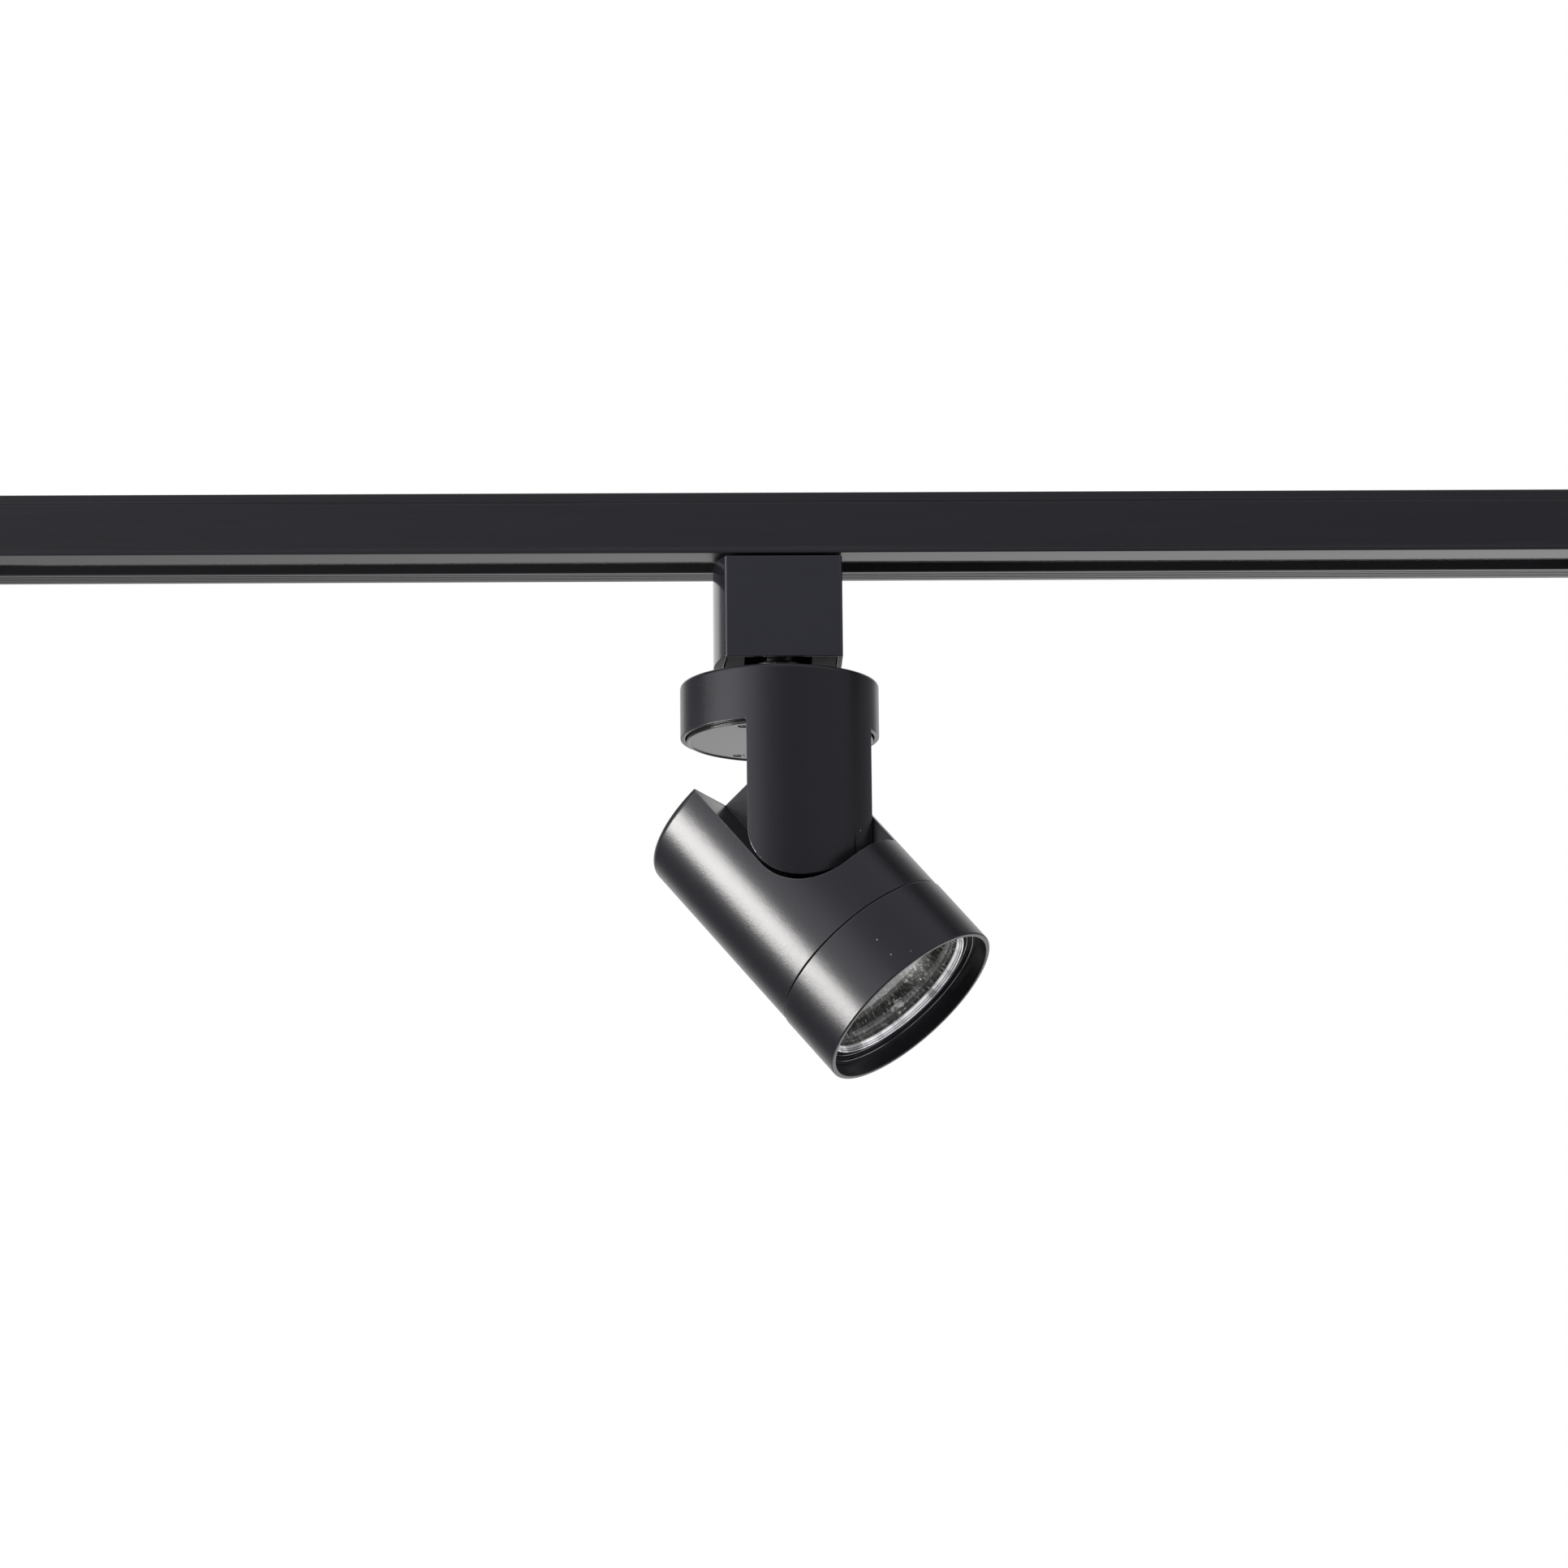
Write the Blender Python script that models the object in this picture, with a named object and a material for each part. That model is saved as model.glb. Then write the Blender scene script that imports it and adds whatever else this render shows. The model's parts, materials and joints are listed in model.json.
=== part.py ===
"""Track spotlight: a length of lighting track, a spring-sleeve track adapter, a round
canopy with a quarter-cylinder arm in the same casting, and a cylindrical head that
tilts out of line with the canopy.

Millimetres in the code below, turned into metres when each mesh is made.
World frame: origin at the centre of the track's top face, straight above the lamp's
swivel axis. X runs along the track, Z is up, and -Y is the front.
"""

import math
from typing import NamedTuple

import bmesh
import bpy
from mathutils import Matrix, Vector

MM = 0.001

# ---------------------------------------------------------------- driving dimensions (mm, degrees)
TRACK_LENGTH = 500.0
TRACK_WIDTH = 35.0
TRACK_HEIGHT = 18.8
TRACK_WALL = 1.4
SLOT_HALF = 6.5
CAP_THICKNESS = 3.0
CAP_GAP = 0.3
MOUNT_HOLE_X = 150.0

SLEEVE_TOP = -19.7
SLEEVE_BOTTOM = -50.8
SLEEVE_HALF_DEPTH = 17.6
SLEEVE_LEFT_CORNER, SLEEVE_LEFT_MID = -16.3, -19.9
SLEEVE_RIGHT = 18.9
SLEEVE_CORNER = 1.2

RADIUS = 30.0            # canopy, arm and head share this radius
CANOPY_TOP = -55.8
CANOPY_RIM = -72.46
COVER_FACE = -73.36
COVER_RADIUS = 28.1
ARM_FACE_Y = -2.1        # the arm's flat inner face, in the canopy frame
ARM_HALF_WIDTH = 15.0
ARM_WALL = 2.2
PIVOT_X = ARM_HALF_WIDTH
PIVOT_Z = -104.83

# Heights in the head are above the pivot, along the head's own axis.
HEAD_REAR = 30.9
HEAD_SEAM = -33.4
HEAD_FRONT = -56.1
HEAD_SHELL = 2.0
NOTCH_FACE_Y = -1.5
NOTCH_X = -15.7          # the notch's side wall, from the tilt axis
NOTCH_CENTRE, NOTCH_RADIUS = (0.9, -1.5), 16.6
NOTCH_RISE = 0.2         # its floor climbs this much per millimetre towards the open side
TRIM_RADIUS = RADIUS + 0.25

PAN_AZIMUTH = 20.5       # the tilt axis points this far left of straight ahead
TILT = 41.1              # the head's tilt away from straight down

# Facets round a turned piece
BIG = 56
MID = 36
SMALL = 20
POCKET_FACETS = 16
SCREW_FACETS = 12

# How far cutters reach from the middle, past the outside of what they cut
REACH_X, REACH_Y, REACH_Z = 40.0, 45.0, 50.0

ENDS = ((-1, "left"), (1, "right"))
SIDES = ((-1, "front", "live"), (1, "rear", "neutral"))


# ---------------------------------------------------------------- materials
class Look(NamedTuple):
    name: str
    colour: tuple
    roughness: float
    metallic: float = 0.0
    alpha: float = 1.0


SATIN_BLACK = Look("satin_black_powder", colour=(0.022, 0.021, 0.024), roughness=0.42)
TRACK_BLACK = Look("track_black", colour=(0.020, 0.019, 0.022), roughness=0.38)
GLOSS_BLACK = Look("gloss_black_moulding", colour=(0.012, 0.012, 0.015), roughness=0.12)
MATT_BLACK = Look("matt_black_moulding", colour=(0.020, 0.020, 0.022), roughness=0.55)
COVER_GREY = Look("canopy_cover_black", colour=(0.030, 0.030, 0.033), roughness=0.20)
COPPER = Look("copper", colour=(0.72, 0.36, 0.20), roughness=0.30, metallic=1.0)
STEEL = Look("zinc_plated_steel", colour=(0.62, 0.62, 0.64), roughness=0.28, metallic=1.0)
NICKEL = Look("nickel_plate", colour=(0.70, 0.69, 0.67), roughness=0.18, metallic=1.0)
WHITE_PLASTIC = Look("white_moulding", colour=(0.80, 0.79, 0.76), roughness=0.45)
BOARD_GREEN = Look("circuit_board", colour=(0.03, 0.16, 0.07), roughness=0.45)
FERRITE = Look("ferrite_choke", colour=(0.06, 0.06, 0.065), roughness=0.60)
CAN_BLUE = Look("capacitor_sleeve", colour=(0.03, 0.06, 0.20), roughness=0.35)
LEAD_BLACK = Look("lead_sheath", colour=(0.03, 0.03, 0.03), roughness=0.50)
ALUMINIUM = Look("machined_aluminium", colour=(0.78, 0.78, 0.79), roughness=0.35, metallic=1.0)
MIRROR = Look("bright_reflector", colour=(0.90, 0.90, 0.91), roughness=0.10, metallic=1.0)
PHOSPHOR = Look("phosphor", colour=(0.92, 0.72, 0.16), roughness=0.60)
GLASS = Look("clear_glass", colour=(0.92, 0.95, 0.96), roughness=0.03, alpha=0.35)
SILICONE = Look("silicone", colour=(0.55, 0.56, 0.56), roughness=0.60)
FIBRE = Look("friction_fibre", colour=(0.22, 0.18, 0.13), roughness=0.80)


def material(owner, look):
    made = bpy.data.materials.new(f"{owner}_{look.name}")
    made.use_nodes = True
    inputs = made.node_tree.nodes["Principled BSDF"].inputs
    inputs["Base Color"].default_value = (*look.colour, 1.0)
    inputs["Roughness"].default_value = look.roughness
    inputs["Metallic"].default_value = look.metallic
    inputs["Alpha"].default_value = look.alpha
    return made


# ---------------------------------------------------------------- outlines and profiles
def arc(centre, radius, start, stop, steps):
    angles = [math.radians(start + (stop - start) * i / steps) for i in range(steps + 1)]
    return [
        (centre[0] + radius * math.cos(angle), centre[1] + radius * math.sin(angle))
        for angle in angles
    ]


def hexagon(centre, radius, first_angle):
    return arc(centre, radius, first_angle, first_angle + 300, 5)


def rod(radius, start, stop):
    """The profile of a solid cylinder."""
    return [(0, start), (radius, start), (radius, stop), (0, stop)]


def ring(outer, inner, start, stop):
    """The profile of a plain ring."""
    return [(outer, start), (outer, stop), (inner, stop), (inner, start)]


# ---------------------------------------------------------------- object helpers
def empty(name, location=(0, 0, 0), rotation=(0, 0, 0), parent=None):
    made = bpy.data.objects.new(name, None)
    made.location = Vector(location) * MM
    made.rotation_euler = rotation
    made.parent = parent
    bpy.context.collection.objects.link(made)
    return made


def finish(name, drawn, look, parent, smooth=True):
    """Turns a bmesh drawn in millimetres into an object; look is None for a helper."""
    bmesh.ops.recalc_face_normals(drawn, faces=drawn.faces)
    bmesh.ops.scale(drawn, vec=(MM, MM, MM), verts=drawn.verts)
    mesh = bpy.data.meshes.new(name)
    drawn.to_mesh(mesh)
    drawn.free()
    made = bpy.data.objects.new(name, mesh)
    made.parent = parent
    bpy.context.collection.objects.link(made)
    if look is None:
        made.hide_render = True
        made.display_type = "WIRE"
        return made
    mesh.materials.append(material(name, look))
    if smooth:
        mesh.shade_smooth()
        mesh.set_sharp_from_angle(angle=math.radians(35))
    return made


def bridge(drawn, first, second):
    """Quads between two rings of as many vertices."""
    for i in range(len(first)):
        j = (i + 1) % len(first)
        drawn.faces.new((first[i], first[j], second[j], second[i]))


def turned_mesh(profile, segments, centre=(0.0, 0.0)):
    """A closed (radius, height) profile turned about a vertical axis."""
    drawn = bmesh.new()
    rings = []
    for radius, height in profile:
        if radius < 1e-6:
            points = [centre]
        else:
            angles = [2 * math.pi * i / segments for i in range(segments)]
            points = [
                (centre[0] + radius * math.cos(angle), centre[1] + radius * math.sin(angle))
                for angle in angles
            ]
        rings.append([drawn.verts.new((x, y, height)) for x, y in points])
    for here, after in zip(rings, rings[1:] + rings[:1]):
        if len(here) == 1 and len(after) == 1:
            continue
        if len(here) == len(after):
            bridge(drawn, here, after)
            continue
        for i in range(segments):
            j = (i + 1) % segments
            if len(here) == 1:
                drawn.faces.new((here[0], after[i], after[j]))
            else:
                drawn.faces.new((here[i], here[j], after[0]))
    return drawn


def turned(name, profile, look=None, parent=None, segments=BIG, centre=(0.0, 0.0)):
    return finish(name, turned_mesh(profile, segments, centre), look, parent)


def lying(name, profile, point, look=None, parent=None, direction=(0, 1, 0), segments=SMALL):
    """A turned piece whose axis runs from point along direction."""
    drawn = turned_mesh(profile, segments)
    turn = Vector((0, 0, 1)).rotation_difference(Vector(direction)).to_matrix().to_4x4()
    bmesh.ops.transform(drawn, matrix=Matrix.Translation(point) @ turn, verts=drawn.verts)
    return finish(name, drawn, look, parent)


def prism(name, outline, axis, start, stop, look=None, parent=None, smooth=False):
    """An outline pushed along an axis: (y, z) outlines for x, (x, z) for y, (x, y) for z."""
    low, high = sorted((start, stop))

    def place(first, second, along):
        if axis == "x":
            return (along, first, second)
        if axis == "y":
            return (first, along, second)
        return (first, second, along)

    drawn = bmesh.new()
    face = drawn.faces.new([drawn.verts.new(place(*point, low)) for point in outline])
    pushed = bmesh.ops.extrude_face_region(drawn, geom=[face])
    moved = [item for item in pushed["geom"] if isinstance(item, bmesh.types.BMVert)]
    bmesh.ops.translate(drawn, verts=moved, vec=Vector(place(0, 0, high - low)))
    return finish(name, drawn, look, parent, smooth)


def sector(name, start, stop, inner, outer, low, high, steps, parent, centre=(0, 0)):
    """A helper shaped as part of an upright ring, between two angles."""
    outline = arc(centre, outer, start, stop, steps) + arc(centre, inner, stop, start, steps)
    return prism(name, outline, "z", low, high, parent=parent)


def block(name, corner, opposite, look=None, parent=None, bevel=0.0):
    """A box between two opposite corners, given in either order."""
    size = [abs(stop - start) for start, stop in zip(corner, opposite)]
    drawn = bmesh.new()
    bmesh.ops.create_cube(drawn, size=1.0)
    bmesh.ops.scale(drawn, vec=Vector(size), verts=drawn.verts)
    bmesh.ops.translate(drawn, vec=(Vector(corner) + Vector(opposite)) / 2, verts=drawn.verts)
    if bevel:
        bmesh.ops.bevel(
            drawn, geom=list(drawn.edges), offset=bevel, segments=1, affect="EDGES"
        )
    return finish(name, drawn, look, parent, smooth=False)


def skin(name, sections, look, parent):
    """A swept solid through rings of points, closed at both ends."""
    drawn = bmesh.new()
    rings = [[drawn.verts.new(point) for point in section] for section in sections]
    for first, second in zip(rings, rings[1:]):
        bridge(drawn, first, second)
    drawn.faces.new(rings[0])
    drawn.faces.new(rings[-1])
    return finish(name, drawn, look, parent)


def section(middle, radius, across, upward, sides):
    """Points round a circle in the plane of two unit vectors."""
    angles = [2 * math.pi * i / sides for i in range(sides)]
    return [
        middle + radius * (math.cos(angle) * across + math.sin(angle) * upward)
        for angle in angles
    ]


def smooth_path(path, per_span):
    """Points on a Catmull-Rom curve through the path's points."""
    points = [Vector(point) for point in path]
    points = [points[0] * 2 - points[1]] + points + [points[-1] * 2 - points[-2]]
    curve = []
    for k in range(1, len(points) - 2):
        before, start, stop, after = points[k - 1 : k + 3]
        slope = stop - before
        bend = 2 * before - 5 * start + 4 * stop - after
        twist = 3 * start - before - 3 * stop + after
        for i in range(per_span):
            share = i / per_span
            curve.append(
                0.5 * ((2 * start) + slope * share + bend * share**2 + twist * share**3)
            )
    return curve + [points[-2]]


def tube(name, path, radius, parent=None, sides=8, per_span=3):
    """A round lead swept along a smooth curve through the path's points."""
    centres = smooth_path(path, per_span)
    sections = []
    across = None
    for k, middle in enumerate(centres):
        ahead = centres[min(k + 1, len(centres) - 1)] - centres[max(k - 1, 0)]
        ahead.normalize()
        if across is None:
            across = ahead.orthogonal().normalized()
        across = (across - ahead * across.dot(ahead)).normalized()
        sections.append(section(middle, radius, across, ahead.cross(across), sides))
    return skin(name, sections, LEAD_BLACK, parent)


def spring(name, centre, low, high, radius, wire, turns, per_turn=8, sides=4):
    """An upright coil of round wire; radius is to the middle of the wire."""
    sections = []
    count = turns * per_turn
    for k in range(count + 1):
        angle = 2 * math.pi * k / per_turn
        z = low + wire / 2 + (high - low - wire) * k / count
        out = Vector((math.cos(angle), math.sin(angle), 0))
        middle = Vector((*centre, z)) + radius * out
        sections.append(section(middle, wire / 2, out, Vector((0, 0, 1)), sides))
    return skin(name, sections, STEEL, None)


def boolean(target, other, operation):
    made = target.modifiers.new(f"{operation.lower()}_{other.name}", "BOOLEAN")
    made.operation = operation
    made.object = other
    made.solver = "EXACT"


def cut(target, *others):
    for other in others:
        boolean(target, other, "DIFFERENCE")


def join(target, *others):
    for other in others:
        boolean(target, other, "UNION")


# ---------------------------------------------------------------- track
TRACK_HALF = TRACK_WIDTH / 2
TRACK_BOTTOM = -TRACK_HEIGHT
BAR_END = TRACK_LENGTH / 2 - CAP_THICKNESS - CAP_GAP
LIP_GROOVES = (14.4, 12.6, 10.8, 9.0)     # y of the grooves under the rear lip
LIP_GROOVE_HALF, LIP_GROOVE_DEPTH = 0.3, 0.45
MOUNT_HOLE_RADIUS = 2.25

INSULATOR_INNER, INSULATOR_OUTER = 8.3, 15.8
INSULATOR_TOP, INSULATOR_BOTTOM = -1.9, -17.1
INSULATOR_SETBACK = 1.0
GROOVE_TOP, GROOVE_BOTTOM, GROOVE_BACK = -6.3, -10.7, 14.4
CONDUCTOR_INNER, CONDUCTOR_OUTER = 13.0, 14.1
CONDUCTOR_GAP = 0.4
CONDUCTOR_SETBACK = 3.0
CAP_CORNER = 1.0


def track_half(side, grooves):
    """From the middle of the top, round the outside and the lip, to the middle of the inner roof."""
    lip = []
    for y in grooves:
        inner, outer = y - LIP_GROOVE_HALF, y + LIP_GROOVE_HALF
        roof = TRACK_BOTTOM + LIP_GROOVE_DEPTH
        lip += [(outer, TRACK_BOTTOM), (outer, roof), (inner, roof), (inner, TRACK_BOTTOM)]
    # (distance from the middle, z)
    half = [
        (TRACK_HALF - 0.5, 0.0),
        (TRACK_HALF, -0.5),
        (TRACK_HALF, -2.65),
        (TRACK_HALF - 0.35, -2.85),
        (TRACK_HALF - 0.35, -3.15),
        (TRACK_HALF, -3.35),
        (TRACK_HALF, TRACK_BOTTOM + 1.65),
        (TRACK_HALF - 0.2, TRACK_BOTTOM + 1.55),
        (TRACK_HALF - 0.2, TRACK_BOTTOM + 1.25),
        (TRACK_HALF, TRACK_BOTTOM + 1.15),
        (TRACK_HALF, TRACK_BOTTOM + 0.35),
        (TRACK_HALF - 0.35, TRACK_BOTTOM),
        *lip,
        (SLOT_HALF, TRACK_BOTTOM),
        (SLOT_HALF, TRACK_BOTTOM + 3.0),
        (SLOT_HALF + 1.2, TRACK_BOTTOM + 3.0),
        (SLOT_HALF + 1.2, TRACK_BOTTOM + TRACK_WALL),
        (TRACK_HALF - TRACK_WALL, TRACK_BOTTOM + TRACK_WALL),
        (TRACK_HALF - TRACK_WALL, -TRACK_WALL),
    ]
    return [(side * y, z) for y, z in half]


def track_extrusion():
    outline = track_half(1, LIP_GROOVES) + track_half(-1, ())[::-1]
    bar = prism("track_extrusion", outline, "x", -BAR_END, BAR_END, TRACK_BLACK)
    for side, tag in ENDS:
        hole = rod(MOUNT_HOLE_RADIUS, 2.0, -4.0)
        place = (side * MOUNT_HOLE_X, 0)
        cut(bar, turned(f"cut_ceiling_hole_{tag}", hole, segments=SMALL, centre=place))


def insulators_and_conductors():
    outline = [
        (INSULATOR_INNER, INSULATOR_TOP),
        (INSULATOR_OUTER, INSULATOR_TOP),
        (INSULATOR_OUTER, INSULATOR_BOTTOM),
        (INSULATOR_INNER, INSULATOR_BOTTOM),
        (INSULATOR_INNER, GROOVE_BOTTOM),
        (GROOVE_BACK, GROOVE_BOTTOM),
        (GROOVE_BACK, GROOVE_TOP),
        (INSULATOR_INNER, GROOVE_TOP),
    ]
    length_end = BAR_END - INSULATOR_SETBACK
    strip_end = BAR_END - CONDUCTOR_SETBACK
    for side, tag, pole in SIDES:
        sided = [(side * y, z) for y, z in outline]
        prism(f"insulator_{tag}", sided, "x", -length_end, length_end, WHITE_PLASTIC)
        block(
            f"conductor_{pole}",
            (-strip_end, side * CONDUCTOR_INNER, GROOVE_BOTTOM + CONDUCTOR_GAP),
            (strip_end, side * CONDUCTOR_OUTER, GROOVE_TOP - CONDUCTOR_GAP),
            COPPER,
        )


def end_caps():
    corner_y = TRACK_HALF - CAP_CORNER
    outline = [(corner_y, 0.0)]
    outline += arc((corner_y, -CAP_CORNER), CAP_CORNER, 90, 0, 3)[1:]
    outline += arc((corner_y, TRACK_BOTTOM + CAP_CORNER), CAP_CORNER, 0, -90, 3)
    outline += [(-y, z) for y, z in outline[::-1]]
    outer = TRACK_LENGTH / 2
    inner = outer - CAP_THICKNESS
    for side, tag in ENDS:
        prism(f"end_cap_{tag}", outline, "x", side * inner, side * outer, MATT_BLACK)


# ---------------------------------------------------------------- adapter core, fixed in the track
NECK_HALF_X, NECK_HALF_Y, NECK_TOP = 15.0, 5.7, -3.2
CORE_TOP, CORE_BOTTOM = -26.0, -50.6
RECESS_LEFT, RECESS_RIGHT, RECESS_ROOF = -10.6, 9.8, -42.0
SEAT_GAP = 0.4           # round the locking foot and the contact blades
FOOT_HALF_X, FOOT_HALF_Y = 6.0, 8.0
FOOT_LOW, FOOT_HIGH = -15.4, -12.4
BLADE_LEFT, BLADE_RIGHT = -12.6, -4.4
BLADE_LOW, BLADE_HIGH = -9.1, -7.9
BLADE_ROOT_Y, BLADE_TIP_Y = 4.0, 12.7
BLADE_SEAT_ROOT_Y, BLADE_SEAT_MOUTH_Y = 3.6, 8.0
SPRING_Y = 11.0


def bowed_box(left, right, half_depth):
    """An (x, y) outline, square on the right and slightly bowed out on the left."""
    return [
        (left, -half_depth),
        (right, -half_depth),
        (right, half_depth),
        (left, half_depth),
        (left - 0.8, 6.0),
        (left - 0.9, 0.0),
        (left - 0.8, -6.0),
    ]


def adapter_core():
    outline = bowed_box(-15.6, 17.0, 16.05)
    core = prism("adapter_core", outline, "z", CORE_BOTTOM, CORE_TOP, MATT_BLACK)
    neck_low = (-NECK_HALF_X, -NECK_HALF_Y, CORE_TOP - 2)
    join(core, block("join_neck", neck_low, (NECK_HALF_X, NECK_HALF_Y, NECK_TOP), bevel=0.4))
    cut(
        core,
        block(
            "cut_recess", (RECESS_LEFT, -20, CORE_BOTTOM - 3), (RECESS_RIGHT, 20, RECESS_ROOF)
        ),
        block(
            "cut_foot_slot",
            (-FOOT_HALF_X - SEAT_GAP, -FOOT_HALF_Y, FOOT_LOW - SEAT_GAP),
            (FOOT_HALF_X + SEAT_GAP, FOOT_HALF_Y, FOOT_HIGH + SEAT_GAP),
        ),
    )
    for side, tag, _ in SIDES:
        cut(
            core,
            turned(
                f"cut_spring_pocket_{tag}",
                rod(3.1, -20.0, -37.0),
                segments=POCKET_FACETS,
                centre=(0, side * SPRING_Y),
            ),
            block(
                f"cut_blade_seat_{tag}",
                (BLADE_LEFT - SEAT_GAP, side * BLADE_SEAT_ROOT_Y, BLADE_LOW - SEAT_GAP),
                (BLADE_RIGHT + SEAT_GAP, side * BLADE_SEAT_MOUTH_Y, BLADE_HIGH + SEAT_GAP),
            ),
        )
    # A narrow bore for the lead above a wider socket for the nipple
    bore = [(0, -16.6), (3.0, -16.6), (3.0, -37.5), (5.35, -37.5), (5.35, -45.0), (0, -45.0)]
    cut(core, turned("cut_lead_bore", bore, segments=SMALL))


def adapter_metalwork():
    block(
        "locking_foot",
        (-FOOT_HALF_X, -FOOT_HALF_Y, FOOT_LOW),
        (FOOT_HALF_X, FOOT_HALF_Y, FOOT_HIGH),
        STEEL,
        bevel=0.3,
    )
    for side, tag, pole in SIDES:
        block(
            f"contact_{pole}",
            (BLADE_LEFT, side * BLADE_ROOT_Y, BLADE_LOW),
            (BLADE_RIGHT, side * BLADE_TIP_Y, BLADE_HIGH),
            COPPER,
            bevel=0.25,
        )
        spring(
            f"sleeve_spring_{tag}",
            centre=(0, side * SPRING_Y),
            low=-36.7,
            high=-21.6,
            radius=2.3,
            wire=0.8,
            turns=5,
        )
    block("contact_earth", (-7.0, -2.5, -2.9), (7.0, 2.5, -1.8), COPPER, bevel=0.25)
    block("earth_strap", (-3.8, -11.2, -50.4), (-2.4, -10.6, RECESS_ROOF - 0.3), STEEL)


# ---------------------------------------------------------------- swivel, on the vertical axis
NIPPLE_RADIUS, NIPPLE_BORE = 5.0, 3.5
NIPPLE_TOP, NIPPLE_BOTTOM = -37.9, -64.6
SWIVEL_BORE = 5.3        # radius of the holes that slip over the nipple
COLLAR_RADIUS, COLLAR_TOP, COLLAR_BOTTOM = 7.7, -49.6, -55.5
COLLAR_GROOVE_TOP, COLLAR_GROOVE_PITCH = -50.8, 2.0
COLLAR_GROOVE_RADIUS = 7.1
SWIVEL_WASHER_RADIUS, SWIVEL_WASHER_TOP, SWIVEL_WASHER_BOTTOM = 9.0, -58.4, -59.4
SWIVEL_NUT_RADIUS, SWIVEL_NUT_TOP, SWIVEL_NUT_BOTTOM = 8.3, -59.7, -63.7


def swivel():
    nipple = ring(NIPPLE_RADIUS, NIPPLE_BORE, NIPPLE_TOP, NIPPLE_BOTTOM)
    turned("swivel_nipple", nipple[:2] + nipple[2:], NICKEL, segments=SMALL)

    collar = [(COLLAR_RADIUS, COLLAR_TOP)]
    for step in range(2):
        top = COLLAR_GROOVE_TOP - COLLAR_GROOVE_PITCH * step
        collar += [
            (COLLAR_RADIUS, top),
            (COLLAR_GROOVE_RADIUS, top - 0.3),
            (COLLAR_GROOVE_RADIUS, top - 0.6),
            (COLLAR_RADIUS, top - 0.9),
        ]
    collar += [
        (COLLAR_RADIUS, COLLAR_BOTTOM),
        (SWIVEL_BORE, COLLAR_BOTTOM),
        (SWIVEL_BORE, COLLAR_TOP),
    ]
    turned("swivel_collar", collar, NICKEL, segments=SMALL)

    washer = ring(SWIVEL_WASHER_RADIUS, SWIVEL_BORE, SWIVEL_WASHER_TOP, SWIVEL_WASHER_BOTTOM)
    turned("swivel_washer", washer, STEEL, segments=SMALL)

    outline = hexagon((0, 0), SWIVEL_NUT_RADIUS, 0)
    nut = prism("swivel_nut", outline, "z", SWIVEL_NUT_BOTTOM, SWIVEL_NUT_TOP, NICKEL)
    cut(nut, turned("cut_swivel_nut", rod(SWIVEL_BORE, -58.0, -66.0), segments=SMALL))

    path = [(0, 0, z) for z in (-17.2, -30, -50, -65.4)]
    tube("supply_lead", path, 2.4, sides=10, per_span=1)


# ---------------------------------------------------------------- adapter sleeve, slides down
SLEEVE_ROOF = -21.3
NECK_OPENING_X, NECK_OPENING_Y = 15.6, 6.2
TONGUE_HALF_Y, TONGUE_LOW, TONGUE_HIGH = 5.6, -20.5, -16.6


def bowed_side(x_corner, x_mid, half, steps):
    """Points on a shallow curve from (x_corner, -half) to (x_corner, half), bulging to x_mid."""
    ys = [-half + 2 * half * i / steps for i in range(steps + 1)]
    return [(x_corner + (x_mid - x_corner) * (1 - (y / half) ** 2), y) for y in ys]


def adapter_sleeve():
    corner_x, corner_y = SLEEVE_RIGHT - SLEEVE_CORNER, SLEEVE_HALF_DEPTH - SLEEVE_CORNER
    outline = arc((corner_x, -corner_y), SLEEVE_CORNER, -90, 0, 4)
    outline += arc((corner_x, corner_y), SLEEVE_CORNER, 0, 90, 4)
    outline += bowed_side(SLEEVE_LEFT_CORNER, SLEEVE_LEFT_MID, SLEEVE_HALF_DEPTH, 12)[::-1]
    sleeve = prism(
        "adapter_sleeve", outline, "z", SLEEVE_BOTTOM, SLEEVE_TOP, GLOSS_BLACK, smooth=True
    )
    inside = bowed_box(-15.95, 17.3, 16.45)
    cut(
        sleeve,
        prism("cut_sleeve_inside", inside, "z", SLEEVE_BOTTOM - 2, SLEEVE_ROOF),
        block(
            "cut_neck_opening",
            (-NECK_OPENING_X, -NECK_OPENING_Y, -24),
            (NECK_OPENING_X, NECK_OPENING_Y, -18),
        ),
    )
    for tag, left, right in (("left", -18.3, -16.0), ("right", 16.0, 18.2)):
        low = (left, -TONGUE_HALF_Y, TONGUE_LOW)
        high = (right, TONGUE_HALF_Y, TONGUE_HIGH)
        join(sleeve, block(f"join_tongue_{tag}", low, high, bevel=0.3))


# ---------------------------------------------------------------- canopy and arm, pans on the nipple
CASTING_BOTTOM = PIVOT_Z - ARM_HALF_WIDTH - 2.0   # below the arm's round end
CANOPY_ROOF = CANOPY_TOP - 2.2
HOLLOW_RADIUS = 28.4
ARM_HOLLOW_RADIUS = 27.9
NIPPLE_HOLE = 5.6
PIVOT_HOLE = 4.4
BOSS_RADIUS, BOSS_BOTTOM = 2.6, -70.8
SCREW_CIRCLE = 23.2
SCREW_PLACES = [arc((0, 0), SCREW_CIRCLE, angle, angle, 1)[0] for angle in (22.0, 142.0, 262.0)]


def arm_outline(inset, top, steps):
    """The arm seen along the tilt axis: a straight left side and a round end about the pivot.

    Past the canopy's radius it is widened, so the round wall itself bounds the arm.
    """
    end = arc((PIVOT_X, PIVOT_Z), ARM_HALF_WIDTH - inset, 180, 360, steps)
    return [(REACH_X, top), (inset, top)] + end + [(REACH_X, PIVOT_Z)]


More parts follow.
